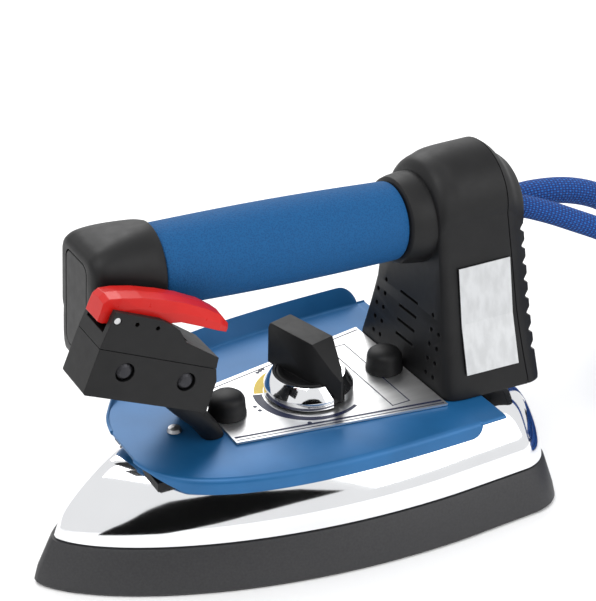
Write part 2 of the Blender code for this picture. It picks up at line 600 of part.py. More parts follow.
def build_lever():
    """The thumb lever, hinged on its pin and free at the rear."""
    pivot = switch_point(*PIN_UV, -29.25)
    # Stations: (u, low, high, half-width at the low edge, half-width at the high edge)
    stations = ((-2.2, 27.6, 34.4, 5.6, 5.2), (-0.6, 27.2, 36.6, 5.8, 5.4), (4, 28.4, 38.0, 6.6, 5.8),
                (12, 32.2, 39.6, 6.8, 5.8), (22, 31.0, 40.5, 6.8, 5.8), (31, 33.4, 40.7, 6.8, 5.8),
                (41, 33.2, 40.0, 7.0, 5.6), (48, 32.8, 38.4, 6.9, 5.3), (52.4, 32.4, 35.6, 5.6, 4.6))
    rings = []
    for u, low, high, wide, narrow in stations:
        mid = (low + high) / 2
        section = ((-wide, low), (wide, low), (wide, mid), (narrow, high), (0, high + 0.5), (-narrow, high),
                   (-wide, mid))
        rings.append([switch_point(u, v, -29.25 + w) for w, v in section])
    lever = loft("trigger_lever", rings, MATERIALS["red"], pivot)
    cut(lever, turned("lever_bore", rod_profile(1.6, -12, 12), pivot, (0, 1, 0), 12, None))
    turns, per_turn = 5, 10
    coil = []
    for i in range(turns * per_turn + 1):
        a = 2 * math.pi * i / per_turn
        u, v = 13.5 + 1.9 * math.cos(a), 25.1 + 6.2 * i / (turns * per_turn)
        coil.append(switch_point(u, v, -29.25 + 1.9 * math.sin(a)))
    tube("lever_spring", coil, 0.6, MATERIALS["steel"], 1)


# ---------------------------------------------------------------- rear housing

def arch_section(x, half, top, crown, lean=0.0, inset=0.0, floor=HOUSING_FLOOR):
    """Keyhole section of the rear housing: a wide base drawn in to a round crown. A section that leans
    back stands upright again above the knee of its flanks."""
    radius = crown - inset
    centre = top - crown
    spread = half - inset
    knee = spread - (spread - radius) * 0.55
    pts = [(spread, floor), (spread - 0.02, floor + 1.5), (knee, floor + 32)]
    pts += arc(0, centre, radius, -8, 188, 13)
    pts += [(-knee, floor + 32), (0.02 - spread, floor + 1.5), (-spread, floor)]
    reach = 32 if lean > 0 else 1000
    return [(x + lean * min(z - HOUSING_FLOOR, reach), y, z) for y, z in pts]


# Sections of the rear housing and its cover: x, half-width, top height, crown radius, lean
FRONT_SECTIONS = ((HOUSING_FRONT_X, 32.5, 147.5, 20, FRONT_LEAN),
                  (HOUSING_FRONT_X + 0.8, 34.6, 149.2, 21.4, FRONT_LEAN),
                  (HOUSING_FRONT_X + 3.2, 36.6, 151.4, 22.2, 0.09),
                  (HOUSING_FRONT_X + 8, 37.8, 153, 22.4, 0.07),
                  (HOUSING_FRONT_X + 16, 38.4, 154.6, 22.4, 0.03), (SEAM_X, 40, 155, 22.4, SEAM_LEAN))
REAR_SECTIONS = ((SEAM_X + 0.4, 40.0, 155, 22.4, SEAM_LEAN), (SEAM_X + 2.6, 39.8, 152.6, 21.8, -0.04),
                 (SEAM_X + 5, 39.0, 148.8, 20.8, -0.03), (BACK_X - 0.8, 38.0, 145.4, 19.6, 0.0),
                 (BACK_X, 37.0, 143.2, 19.0, 0.0))


def build_housing():
    rings = [arch_section(*section) for section in FRONT_SECTIONS]
    housing = loft("rear_housing", rings, MATERIALS["black"], fold=(2, len(rings[0]) - 3))
    collar_base = (GRIP_REAR_X + GAP, 0, axis_z(GRIP_REAR_X + GAP))
    flare = ((0, 0), (17.4, 0), (18.4, 0.8), (19.4, 6), (20.0, 12), (20.2, 18), (0, 18))
    cut(housing, turned("collar_form", flare, collar_base, HANDLE_AXIS, 32, None), 'UNION')
    inner = [arch_section(x, half, top, crown, lean, HOUSING_WALL, 40) for x, half, top, crown, lean in
             ((HOUSING_FRONT_X + 4, 36.6, 151.4, 20.6, FRONT_LEAN),
              (HOUSING_FRONT_X + 16, 38.4, 154.8, 22.4, 0.03), (SEAM_X + 8, 40.0, 155, 22.4, SEAM_LEAN))]
    cut(housing, loft("housing_hollow", inner, None, fold=(2, len(inner[0]) - 3)))
    cut(housing, turned("collar_bore", rod_profile(ROD_R + GAP, -4, 40), collar_base, HANDLE_AXIS, 24, None))
    for i in range(4):
        z = 67.4 + 6.7 * i
        slot = [[(x, y, z + dz) for y, dz in ((-7, -0.7), (7, -0.7), (7, 0.7), (-7, 0.7))] for x in (55, 70)]
        cut(housing, loft(f"vent_slot_{i}", slot, None))


def build_rear_cover():
    cover = loft("rear_cover", [arch_section(*section) for section in REAR_SECTIONS], MATERIALS["black"])
    floor = HOUSING_FLOOR + 3
    stations = ((SEAM_X - 12, 39.6, 153, 21.8), (SEAM_X + 1, 39.0, 149.4, 20.8),
                (SEAM_X + 2.4, 37.4, 146, 19.6))
    inner = [arch_section(x, half, top, crown, 0.0, HOUSING_WALL, floor) for x, half, top, crown in stations]
    cut(cover, loft("rear_hollow", inner, None))
    for i in range(8):
        z = 68.5 + RIB_PITCH * i
        groove = ((BACK_X + 4, z - 3.4), (BACK_X - 1.9, z - 1.2), (BACK_X - 3.0, z), (BACK_X - 1.9, z + 1.2),
                  (BACK_X + 4, z + 3.4))
        cut(cover, loft(f"rib_groove_{i}", [[(x, y, zz) for x, zz in groove] for y in (-50, 50)], None))
    for name, at, aim, diameter in LEADS:
        cut(cover, turned(f"{name}_exit", rod_profile(diameter / 2 + 2.0, -20, 20), at, aim, 20, None))


def housing_flank(x, z):
    """Near flank of the housing, where the label sits."""
    half = 38.4 + 1.6 * (x - HOUSING_FRONT_X - 16) / (SEAM_X - HOUSING_FRONT_X - 16)
    knee = half - (half - 22.4) * 0.55
    if z < HOUSING_FLOOR + 32:
        return -(half + (knee - half) * (z - HOUSING_FLOOR - 1.5) / 30.5)
    shoulder = 22.4 * math.cos(math.radians(8))
    rise = 132.6 - 22.4 * math.sin(math.radians(8)) - HOUSING_FLOOR - 32
    return -(knee + (shoulder - knee) * (z - HOUSING_FLOOR - 32) / rise)


def build_label():
    """Rating plate, left blank, wrapped onto the near flank."""
    rows = []
    for z in (64.8, 75, 86.4, 98.6, 111):
        rows.append([(x, housing_flank(x, z) - 0.75, z) for x in (71.7, 78, 84.5, 91, 97.4)])
    n = len(rows[0])
    faces = [(k * n + i, k * n + i + 1, (k + 1) * n + i + 1, (k + 1) * n + i)
             for k in range(len(rows) - 1) for i in range(n - 1)]
    label = add_object("rating_label", [p for row in rows for p in row], faces, MATERIALS["label"])
    wall = label.modifiers.new("Wall", 'SOLIDIFY')
    wall.thickness = 0.5 * MM
    wall.offset = 0


def build_rear_internals():
    block("terminal_block", (76, -21, 60), (92, -2, 72), MATERIALS["ceramic"], 0.8)
    route = ((72, 8, 20.2), (72, 8, 50), (72, 8, 82), (71.6, 8, 100), (72.4, 7.8, 110), (75.4, 7.5, 117),
             (80.2, 7.5, 119))
    tube("steam_pipe", smooth_path(route, 6), 4.0, MATERIALS["brass"], 2)
    nipple = ((0, 0), (4.6, 0), (4.6, 4), (3.4, 4.4), (3.4, 9.6), (0, 9.6))
    turned("hose_nipple", nipple, (81, 7.5, 119), (1, 0, 0), 16, MATERIALS["brass"])
    turned("hose_clamp", ring_profile(HOSE_D / 2 + 0.6, 3.8, 5.0, 9.4), (81, 7.5, 119), (1, 0, 0), 20,
           MATERIALS["steel"])
    block("cable_clamp", (82, -16, 110), (90, -1, 122), MATERIALS["black"], 0.6)
    cover = bpy.data.objects["rear_cover"]
    for side, y in (("left", -22), ("right", 22)):
        at = (BACK_X, y, 60)
        cut(cover, turned(f"cover_screw_hole_{side}", rod_profile(1.8, -12, 2), at, (1, 0, 0), 12, None))
        cut(cover, turned(f"cover_screw_seat_{side}", rod_profile(3.6, -2.4, 3), at, (1, 0, 0), 16, None))
        screw = ((0, -12), (1.5, -12), (1.5, -2.1), (3.2, -2.0), (3.2, -0.8), (2.0, -0.1), (0, 0))
        turned(f"cover_screw_{side}", screw, at, (1, 0, 0), 14, MATERIALS["steel"])


# ---------------------------------------------------------------- leads

def coil_ring(name, radius, columns, layers, diameter, floor, mat):
    """A neat round coil as one turned ring with softened edges."""
    width = columns * diameter / 2
    height = layers * diameter
    c = diameter * 0.3
    cx, cy = COIL_CENTRE
    profile = ((radius - width, c), (radius - width + c, 0), (radius + width - c, 0), (radius + width, c),
               (radius + width, height - c), (radius + width - c, height), (radius - width + c, height),
               (radius - width, height - c), (radius - width, c))
    return turned(name, profile, (cx, cy, floor), (0, 0, 1), 40, mat)


def build_leads():
    for name, at, aim, diameter in LEADS:
        r = diameter / 2
        sleeve = ((0, -17.8), (r + 1.2, -17.8), (r + 1.6, -7), (r + 1.2, -2), (r + 0.7, 3), (0, 3))
        turned(f"{name}_strain_relief", sleeve, at, aim, 20, MATERIALS["black"])
    tube("steam_hose_run", smooth_path(HOSE_ROUTE, 20), HOSE_D, MATERIALS["braid"], 2)
    tube("power_cable_run", smooth_path(CABLE_ROUTE, 18), CABLE_D, MATERIALS["braid"], 2)
    coil_ring("steam_hose_coil", HOSE_COIL_R, 2, 2, HOSE_D, 0.3, MATERIALS["braid"])
    coil_ring("power_cable_coil", CABLE_COIL_R, 2, 2, CABLE_D, 24.6, MATERIALS["braid"])
    cx, cy = COIL_CENTRE
    plug = ((0, 0), (5.6, 0), (7.5, 16), (12.5, 19), (13.5, 22), (13.5, 50), (12.5, 51), (10.8, 51),
            (10.8, 42), (0, 42))
    # The plug lies on top of the cable coil, the hose fitting inside the hose coil
    plug_x, plug_y, plug_z = cx + 50.8, cy - 23.7, 58.5
    turned("power_cable_plug", plug, (plug_x, plug_y, plug_z), (0, 1, 0), 20, MATERIALS["black"])
    for i in range(3):
        a = 2 * math.pi * i / 3 + math.pi / 2
        at = (plug_x + 5 * math.cos(a), plug_y, plug_z + 5 * math.sin(a))
        turned(f"plug_pin_{i + 1}", rod_profile(1.3, 42.3, 49), at, (0, 1, 0), 8, MATERIALS["brass"])
    fitting = ((0, 0), (6.6, 0), (7.6, 1), (7.6, 12), (9.5, 13), (9.5, 27), (8.5, 28), (5.2, 28), (5.2, 14),
               (0, 14))
    turned("steam_hose_fitting", fitting, (cx + 41.7, cy + 14, 9.9), (0, -1, 0), 18, MATERIALS["brass"])


build_sole()
build_heating()
build_cover()
build_studs()
build_shield()
build_scale_plate()
build_knob()
build_handle()
build_front_leg()
build_switch()
build_lever()
build_housing()
build_rear_cover()
build_label()
build_rear_internals()
build_leads()
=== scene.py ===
"""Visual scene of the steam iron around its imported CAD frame. Shapes are drawn in millimetres and placed
in the same frame as the CAD: X from nose to heel, Y away from the thumb lever, Z up from the sole."""
import json
import math

import bmesh
import bpy
from mathutils import Euler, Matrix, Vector


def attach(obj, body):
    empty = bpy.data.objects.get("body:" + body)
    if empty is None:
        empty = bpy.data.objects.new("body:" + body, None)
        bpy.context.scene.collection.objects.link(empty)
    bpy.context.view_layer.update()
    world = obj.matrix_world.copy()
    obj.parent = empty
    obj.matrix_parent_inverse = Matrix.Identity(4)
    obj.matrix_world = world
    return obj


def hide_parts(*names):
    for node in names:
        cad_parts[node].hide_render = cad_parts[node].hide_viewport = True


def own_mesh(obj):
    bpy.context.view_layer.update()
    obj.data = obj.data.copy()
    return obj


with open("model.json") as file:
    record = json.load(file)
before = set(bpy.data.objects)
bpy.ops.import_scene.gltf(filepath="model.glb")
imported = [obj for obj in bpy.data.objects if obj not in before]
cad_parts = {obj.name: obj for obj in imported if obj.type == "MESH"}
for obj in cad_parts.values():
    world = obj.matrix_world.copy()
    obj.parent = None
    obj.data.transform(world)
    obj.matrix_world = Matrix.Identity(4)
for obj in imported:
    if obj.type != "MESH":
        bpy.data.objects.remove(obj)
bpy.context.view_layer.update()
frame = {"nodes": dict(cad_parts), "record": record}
MM = 0.001
NODES = frame["nodes"]

# ---------------------------------------------------------------- camera
CAMERA_AT = (-0.27388, -0.51395, 0.41483)
CAMERA_TILT = math.radians(90 - 28.19)
CAMERA_TURN = math.radians(-28.87)
FOCAL_LENGTH, SENSOR_WIDTH = 96.64, 36
CARD_AHEAD = 0.42

# ---------------------------------------------------------------- driving dimensions, as in the CAD
NOSE_X, HEEL_X, SOLE_HALF, SOLE_TOP = -114.5, 114.5, 61.5, 19.4
SOLE_LEVELS = ((0, 1.2, 1.0, 1.0), (1.4, 0, 0, 0), (6, 1.4, 1.2, 0.6), (18.3, 7.6, 5.8, 3.0),
               (SOLE_TOP, 8.8, 6.8, 4.0))
COVER_TOP = 49.4
COVER_LEVELS = ((20.1, 10, 7.4, 4, 17), (27.5, 13.5, 8.6, 4.5, 18), (35, 19.5, 11.8, 5.2, 19),
                (41.5, 26, 16.5, 6.5, 19), (46, 31.5, 22, 8.5, 19), (48.6, 37, 28, 12, 18),
                (COVER_TOP, 44, 35, 19, 14))
SHIELD_NOSE_X, SHIELD_REAR_X, SHIELD_HALF = -72.5, 79.0, 56.0
SHIELD_TOP, SHIELD_WALL, PLATE_TOP = 54.0, 1.2, 55.2
FRONT_STUD_X, REAR_STUD_X, KNOB_X = -24.5, 52.8, 14.6
NUT_R, KNOB_R, KNOB_TURN = 8.0, 19.3, math.radians(14)
GRIP_FRONT_X, GRIP_REAR_X, GRIP_END_R, GRIP_BARREL = -56.2, 53.0, 16.8, 0.9
AXIS_HEIGHT, AXIS_SLOPE = 129.8, -0.05
CAP_FRONT_X, CAP_LEAN, CAP_HALF = -87.2, 0.07, 18.2
HOUSING_FRONT_X, FRONT_LEAN, SEAM_X, SEAM_LEAN = 61.5, 0.1, 101.5, -0.05
BACK_X, HOUSING_FLOOR, RIB_PITCH = 109.0, 54.4, 7.3
LEAN_REACH = 32
HANDLE_AXIS = (1.0, 0.0, AXIS_SLOPE)
FRONT_SECTIONS = ((HOUSING_FRONT_X, 32.5, 147.5, 20, FRONT_LEAN),
                  (HOUSING_FRONT_X + 0.8, 34.6, 149.2, 21.4, FRONT_LEAN),
                  (HOUSING_FRONT_X + 3.2, 36.6, 151.4, 22.2, 0.09),
                  (HOUSING_FRONT_X + 8, 37.8, 153, 22.4, 0.07),
                  (HOUSING_FRONT_X + 16, 38.4, 154.6, 22.4, 0.03), (SEAM_X, 40, 155, 22.4, SEAM_LEAN))
REAR_SECTIONS = ((SEAM_X + 0.4, 40.0, 155, 22.4, SEAM_LEAN), (SEAM_X + 2.6, 39.8, 152.6, 21.8, -0.04),
                 (SEAM_X + 5, 39.0, 148.8, 20.8, -0.03), (BACK_X - 0.8, 38.0, 145.4, 19.6, 0.0),
                 (BACK_X, 37.0, 143.2, 19.0, 0.0))

# Holes as (place along the iron, radius), vents and ribs. The service hole is smaller than the CAD's
# opening and doesn't clear the steam pipe beside it; the housing hides both.
UP = (0, 0, 1)
STUD_AND_SHAFT_HOLES = ((FRONT_STUD_X, 3.4), (KNOB_X, 4.5), (REAR_STUD_X, 3.4))
SHIELD_SCREW_HOLE, SERVICE_HOLE = (SHIELD_NOSE_X + 23.5, 2.6), (72, 6)
COVER_WALL = 0.9
VENT_PLACES, VENT_R, VENT_DEPTH = range(-66, 11, 11), 1.6, 6
SLOT_COUNT, SLOT_FIRST_Z, SLOT_PITCH, SLOT_HALF, SLOT_HALF_HEIGHT = 4, 67.4, 6.7, 7, 0.7
HOLE_COLUMNS = ((18.8, 5), (-18.8, 5), (24.4, 4), (-24.4, 4))
HOLE_FIRST_Z, HOLE_PITCH, HOLE_R = 60.5, 6.8, 1.1
RIB_COUNT, RIB_FIRST_Z = 8, 68.5

# Leads: points in a turn, points left out where the run spirals in, step along a path, sides of the tube
COIL_STEPS, SPIRAL_IN = 36, 9
LEAD_STEP, LEAD_SIDES = 1.6, 24

# Leads as in the CAD: centre of the coils, diameters, exits and routes of the runs
COIL_CENTRE = (262.0, -45.0)
HOSE_D, CABLE_D = 12.0, 10.0
HOSE_EXIT, CABLE_EXIT = (BACK_X, 7.5, 119.0), (BACK_X, -7.4, 125.4)
HOSE_AIM, CABLE_AIM = (1.0, 0.0, 0.0), (0.93, -0.19, -0.31)
HOSE_ROUTE = ((112.4, 7.5, 119), (122, 7.5, 119.1), (134, 7.5, 119.2), (150, 7.2, 117.2), (166, 6.8, 112),
              (180, 8, 103.5), (194, 12, 90), (207, 19, 70), (220, 29, 43), (236, 37, 19), (262, 39.3, 6.6))
CABLE_ROUTE = ((112.1, -8.0, 124.4), (120.3, -9.4, 121.7), (129.8, -11.6, 118), (140.4, -14.3, 113.2),
               (154, -19, 107), (172, -29, 98), (190, -49, 86), (207, -79, 68), (230, -110.5, 43),
               (262, -116.4, 30.2))

# Looks and stage: braid strands and their pitch in metres, crease angle in degrees, floor and lights
BRAID_STRANDS, BRAID_PITCH = 16, 0.0034
CREASE = 32
FLOOR_HALF, FLOOR_DROP, WORLD_STRENGTH = 6, 0.0002, 0.9
LIGHTS = (("key", (-0.5, -0.3, 1.3), 0.9, 8), ("fill", (0.7, -1.1, 0.8), 1.0, 6),
          ("back", (0.3, 1.2, 1.0), 0.9, 8))
LIGHTS_AIM = (0, 0, 0.05)


def make_camera():
    """The photograph's viewpoint, solved from the sole's outline, the housing and the grip."""
    data = bpy.data.cameras.new("camera")
    data.lens = FOCAL_LENGTH
    data.sensor_width = SENSOR_WIDTH
    data.sensor_fit = 'HORIZONTAL'
    camera = bpy.data.objects.new("camera", data)
    bpy.context.scene.collection.objects.link(camera)
    camera.location = CAMERA_AT
    camera.rotation_euler = (CAMERA_TILT, 0, CAMERA_TURN)
    bpy.context.scene.camera = camera


make_camera()


# ---------------------------------------------------------------- node helpers

class Nodes:
    """Short helpers for one procedural material."""

    def __init__(self, name, color, roughness, metallic=0.0):
        self.mat = bpy.data.materials.new(name)
        self.mat.use_nodes = True
        self.tree = self.mat.node_tree
        self.shader = self.tree.nodes["Principled BSDF"]
        self.set("Base Color", (*color, 1))
        self.set("Roughness", roughness)
        self.set("Metallic", metallic)
        self.coords = self.tree.nodes.new("ShaderNodeTexCoord")

    def set(self, socket, value):
        self.shader.inputs[socket].default_value = value

    def link(self, source, target):
        self.tree.links.new(source, target)

    def noise(self, scale, detail=4.0, stretch=(1, 1, 1)):
        mapping = self.tree.nodes.new("ShaderNodeMapping")
        mapping.inputs["Scale"].default_value = stretch
        node = self.tree.nodes.new("ShaderNodeTexNoise")
        node.inputs["Scale"].default_value = scale
        node.inputs["Detail"].default_value = detail
        self.link(self.coords.outputs["Object"], mapping.inputs["Vector"])
        self.link(mapping.outputs["Vector"], node.inputs["Vector"])
        return node.outputs["Fac"]

    def cells(self, scale):
        node = self.tree.nodes.new("ShaderNodeTexVoronoi")
        node.inputs["Scale"].default_value = scale
        self.link(self.coords.outputs["Object"], node.inputs["Vector"])
        return node.outputs["Distance"]

    def ramp(self, factor, stops):
        node = self.tree.nodes.new("ShaderNodeValToRGB")
        elements = node.color_ramp.elements
        while len(elements) < len(stops):
            elements.new(0.5)
        for element, (position, color) in zip(elements, stops):
            element.position = position
            element.color = (*color, 1)
        self.link(factor, node.inputs["Fac"])
        return node.outputs["Color"]

    def rescale(self, factor, low, high):
        node = self.tree.nodes.new("ShaderNodeMapRange")
        node.inputs["To Min"].default_value = low
        node.inputs["To Max"].default_value = high
        self.link(factor, node.inputs["Value"])
        return node.outputs["Result"]

    def math(self, operation, a, b=None):
        node = self.tree.nodes.new("ShaderNodeMath")
        node.operation = operation
        for socket, value in zip(node.inputs, (a, b)):
            if value is None:
                continue
            if isinstance(value, (int, float)):
                socket.default_value = value
            else:
                self.link(value, socket)
        return node.outputs["Value"]

    def bump(self, height, distance, strength=1.0, rounding=0.0):
        node = self.tree.nodes.new("ShaderNodeBump")
        node.inputs["Distance"].default_value = distance
        node.inputs["Strength"].default_value = strength
        self.link(height, node.inputs["Height"])
        if rounding:
            soft = self.tree.nodes.new("ShaderNodeBevel")
            soft.samples = 4
            soft.inputs["Radius"].default_value = rounding
            self.link(soft.outputs["Normal"], node.inputs["Normal"])
        self.link(node.outputs["Normal"], self.shader.inputs["Normal"])

    def vary(self, socket, factor, low, high):
        self.link(self.rescale(factor, low, high), self.shader.inputs[socket])

    def tint(self, factor, stops):
        self.link(self.ramp(factor, stops), self.shader.inputs["Base Color"])


def plastic(name, dark, light, roughness, grain, depth, rounding=0.0004):
    """Moulded plastic: fine spark texture, slight colour and gloss variation."""
    n = Nodes(name, dark, roughness)
    n.tint(n.noise(90, 3), ((0.3, dark), (0.7, light)))
    n.vary("Roughness", n.noise(260, 3), roughness - 0.06, roughness + 0.08)
    n.bump(n.noise(grain, 2), depth, 0.5, rounding)
    n.set("Specular IOR Level", 0.28)
    return n.mat


def sole_coating():
    """Dark non-stick coating, faintly speckled."""
    n = Nodes("sole_coating_look", (0.03, 0.03, 0.032), 0.5)
    n.tint(n.noise(1100, 3), ((0.3, (0.026, 0.026, 0.028)), (0.7, (0.034, 0.034, 0.036))))
    n.vary("Roughness", n.noise(300), 0.42, 0.58)
    n.bump(n.noise(2200, 2), 0.00001, 0.5, 0.0003)
    n.set("Specular IOR Level", 0.35)
    return n.mat


def metal(name, color, roughness, spread, grain, depth, stretch=(1, 1, 1)):
    """Bare or plated metal with a fine directional or even grain."""
    n = Nodes(name, color, roughness, 1.0)
    shade = tuple(c * 0.88 for c in color)
    n.tint(n.noise(grain * 0.2, 3, stretch), ((0.35, shade), (0.65, color)))
    n.vary("Roughness", n.noise(grain, 3, stretch), roughness, roughness + spread)
    n.bump(n.noise(grain, 2, stretch), depth, 0.3)
    return n.mat


def polished_steel():
    """Bright polished shell, with a slight change of gloss."""
    n = Nodes("polished_steel_look", (0.86, 0.87, 0.89), 0.05, 1.0)
    n.tint(n.noise(30, 2), ((0.3, (0.83, 0.84, 0.86)), (0.7, (0.88, 0.89, 0.91))))
    n.vary("Roughness", n.noise(70, 3), 0.05, 0.10)
    n.bump(n.noise(2600, 2), 0.000002, 0.2)
    return n.mat


def blue_anodised():
    """Matt blue metal with a very fine grain."""
    n = Nodes("blue_anodised_look", (0.01, 0.11, 0.29), 0.4, 0.25)
    n.tint(n.noise(60, 3), ((0.3, (0.008, 0.100, 0.260)), (0.7, (0.012, 0.120, 0.310))))
    n.vary("Roughness", n.noise(1500, 3), 0.34, 0.44)
    n.bump(n.noise(3200, 2), 0.00001, 0.5, 0.0003)
    return n.mat


def blue_grip():
    """Soft foamed grip with small cells."""
    n = Nodes("blue_grip_look", (0.03, 0.15, 0.42), 0.7)
    n.tint(n.cells(1500), ((0.1, (0.002, 0.050, 0.160)), (0.6, (0.004, 0.078, 0.220))))
    n.vary("Roughness", n.noise(900, 3), 0.6, 0.82)
    n.bump(n.cells(1300), 0.00016, 0.7)
    n.set("Specular IOR Level", 0.25)
    return n.mat


def red_plastic():
    """Glossy red moulding with rounded edges."""
    n = Nodes("red_plastic_look", (0.55, 0.02, 0.018), 0.28)
    n.tint(n.noise(60, 2), ((0.3, (0.46, 0.006, 0.004)), (0.7, (0.52, 0.010, 0.007))))
    n.vary("Roughness", n.noise(400, 3), 0.24, 0.36)
    n.bump(n.noise(500, 2), 0.00003, 0.4, 0.0006)
    n.set("Specular IOR Level", 0.3)
    return n.mat


def blue_braid():
    """Diamond braid: two opposed helices of strands along the lead's own length. Its colour carries painted
    shade, darker in the gaps between strands and lighter on the strand crowns.
    """
    n = Nodes("blue_braid_look", (0.03, 0.12, 0.40), 0.8)
    split = n.tree.nodes.new("ShaderNodeSeparateXYZ")
    n.link(n.coords.outputs["UV"], split.inputs["Vector"])
    around = n.math('MULTIPLY', split.outputs["X"], BRAID_STRANDS * 2 * math.pi)
    along = n.math('MULTIPLY', split.outputs["Y"], 2 * math.pi / BRAID_PITCH)
    right = n.math('SINE', n.math('ADD', around, along))
    left = n.math('SINE', n.math('SUBTRACT', around, along))
    weave = n.math('MULTIPLY', right, left)
    height = n.math('ADD', n.math('MULTIPLY', n.math('MAXIMUM', right, left), 0.35), weave)
    # Colour ramp on the weave height: painted shade in the gaps between strands, lighter on the strand crowns
    n.tint(n.rescale(height, 0, 1), ((0.05, (0.0005, 0.025, 0.15)), (0.55, (0.0015, 0.085, 0.38)),
                                     (0.95, (0.004, 0.150, 0.54))))
    n.vary("Roughness", n.noise(3000, 2), 0.7, 0.92)
    n.bump(height, 0.00035, 0.9)
    return n.mat


def printed(name, color):
    """Screen-printed ink."""
    n = Nodes(name, color, 0.4)
    n.tint(n.noise(500, 2), ((0.3, tuple(c * 0.92 for c in color)), (0.7, color)))
    n.vary("Roughness", n.noise(900, 2), 0.35, 0.5)
    return n.mat


LOOKS = {
    "sole_coating": sole_coating(),
    "cast_aluminium": metal("cast_aluminium_look", (0.55, 0.55, 0.56), 0.45, 0.2, 900, 0.00006),
    "polished_steel": polished_steel(),
    "zinc_steel": metal("zinc_steel_look", (0.62, 0.62, 0.63), 0.28, 0.15, 1600, 0.00001),
    "brass": metal("brass_look", (0.72, 0.52, 0.22), 0.25, 0.15, 1500, 0.00001),
    "blue_anodised": blue_anodised(),
    "satin_aluminium": metal("satin_aluminium_look", (0.83, 0.83, 0.83), 0.32, 0.14, 1400, 0.000006,
                             (0.08, 1, 1)),
    "black_plastic": plastic("black_plastic_look", (0.0035, 0.0035, 0.004), (0.0065, 0.0065, 0.007),
                             0.48, 2000, 0.000012),
    "blue_grip": blue_grip(),
    "red_plastic": red_plastic(),
    "silver_label": metal("silver_label_look", (0.60, 0.61, 0.62), 0.45, 0.05, 1500, 0.000003, (1, 1, 0.4)),
    "blue_braid": blue_braid(),
    "grey_seal": plastic("grey_seal_look", (0.24, 0.24, 0.24), (0.32, 0.32, 0.32), 0.8, 900, 0.00006),
    "black_oxide": metal("black_oxide_look", (0.05, 0.05, 0.055), 0.35, 0.15, 1600, 0.00001),
    "white_insulator": plastic("white_insulator_look", (0.70, 0.68, 0.62), (0.78, 0.76, 0.71), 0.5, 900,
                               0.00003),
}
INKS = {
    "navy": printed("navy_ink", (0.008, 0.012, 0.045)),
    "yellow": printed("yellow_ink", (0.82, 0.58, 0.03)),
}


def dress_cad_nodes():
    """Every CAD node takes its slot's look and smooth shading with crisp corners; the two switch screws
    are blackened."""
    for part in frame["record"]["subparts"]:
        obj = NODES[part["node"]]
        look = LOOKS["black_oxide" if part["node"].startswith("switch_screw") else part["material_slot"]]
        if not obj.material_slots:
            obj.data.materials.append(look)
        for slot in obj.material_slots:
            slot.material = look
        obj.data.shade_smooth()
        obj.data.set_sharp_from_angle(angle=math.radians(CREASE))


# ---------------------------------------------------------------- mesh helpers

def add_piece(name, verts, faces, slot, smooth=CREASE):
    """Mesh object from points in millimetres, with the look or the ink that slot names."""
    mesh = bpy.data.meshes.new(name)
    mesh.from_pydata([tuple(c * MM for c in v) for v in verts], [], faces)
    bm = bmesh.new()
    bm.from_mesh(mesh)
    bmesh.ops.remove_doubles(bm, verts=bm.verts, dist=1e-7)
    bmesh.ops.recalc_face_normals(bm, faces=bm.faces)
    bm.to_mesh(mesh)
    bm.free()
    obj = bpy.data.objects.new(name, mesh)
    bpy.context.scene.collection.objects.link(obj)
    look = LOOKS.get(slot) or INKS.get(slot)
    if look:
        mesh.materials.append(look)
    mesh.shade_smooth()
    mesh.set_sharp_from_angle(angle=math.radians(smooth))
    return obj


def loft(name, rings, slot, closed=True, fold=None):
    """Skin through rings of points. An open loft keeps only its last cap; fold splits each cap between
    two points of the ring."""
    n = len(rings[0])
    caps = [list(range(n))]
    if fold:
        caps = [list(range(fold[0] + 1)) + list(range(fold[1], n)), list(range(fold[0], fold[1] + 1))]
    verts = [p for ring in rings for p in ring]
    faces = []
    for k in range(len(rings) - 1):
        a, b = k * n, (k + 1) * n
        faces += [(a + i, a + (i + 1) % n, b + (i + 1) % n, b + i) for i in range(n)]
    for cap in caps:
        faces.append(tuple((len(rings) - 1) * n + i for i in cap))
        if closed:
            faces.append(tuple(cap[::-1]))
    return add_piece(name, verts, faces, slot)


def turned(name, profile, base, direction, steps, slot, smooth=CREASE):
    """A body of revolution from (radius, distance along the axis)."""
    d = Vector(direction).normalized()
    side = d.orthogonal().normalized()
    up = d.cross(side)
    base = Vector(base)
    verts, faces = [], []
    count = len(profile)
    for k in range(steps):
        a = 2 * math.pi * k / steps
        spoke = side * math.cos(a) + up * math.sin(a)
        verts += [tuple(base + spoke * r + d * h) for r, h in profile]
    for k in range(steps):
        a, b = k * count, ((k + 1) % steps) * count
        for i in range(count - 1):
            quad = [a + i, a + i + 1, b + i + 1, b + i]
            if profile[i][0] < 1e-9:
                quad.remove(b + i)
            if profile[i + 1][0] < 1e-9:
                quad.remove(b + i + 1)
            if len(quad) > 2:
                faces.append(tuple(quad))
    return add_piece(name, verts, faces, slot, smooth)


def apply_modifiers(obj):
    """Makes the modifiers' result the mesh itself, shaded smooth with crisp corners."""
    deps = bpy.context.evaluated_depsgraph_get()
    deps.update()
    mesh = bpy.data.meshes.new_from_object(obj.evaluated_get(deps))
    obj.modifiers.clear()
    obj.data = mesh
    mesh.shade_smooth()
    mesh.set_sharp_from_angle(angle=math.radians(CREASE))


def through_holes(name, holes, low, high, slot):
    """Upright round cutters between two heights, one for each (place along the iron, radius)."""
    return [turned(f"{name}_{i}", ((0, low), (r, low), (r, high), (0, high)), (x, 0, 0), UP, 32, slot)
            for i, (x, r) in enumerate(holes)]


def combine(obj, tools, operation='DIFFERENCE'):
    """Cuts away or joins the tools, then removes them."""
    for tool in tools:
        mod = obj.modifiers.new("Combine", 'BOOLEAN')
        mod.operation = operation
        mod.solver = 'EXACT'
        mod.object = tool
    apply_modifiers(obj)
    for tool in tools:
        bpy.data.objects.remove(tool)


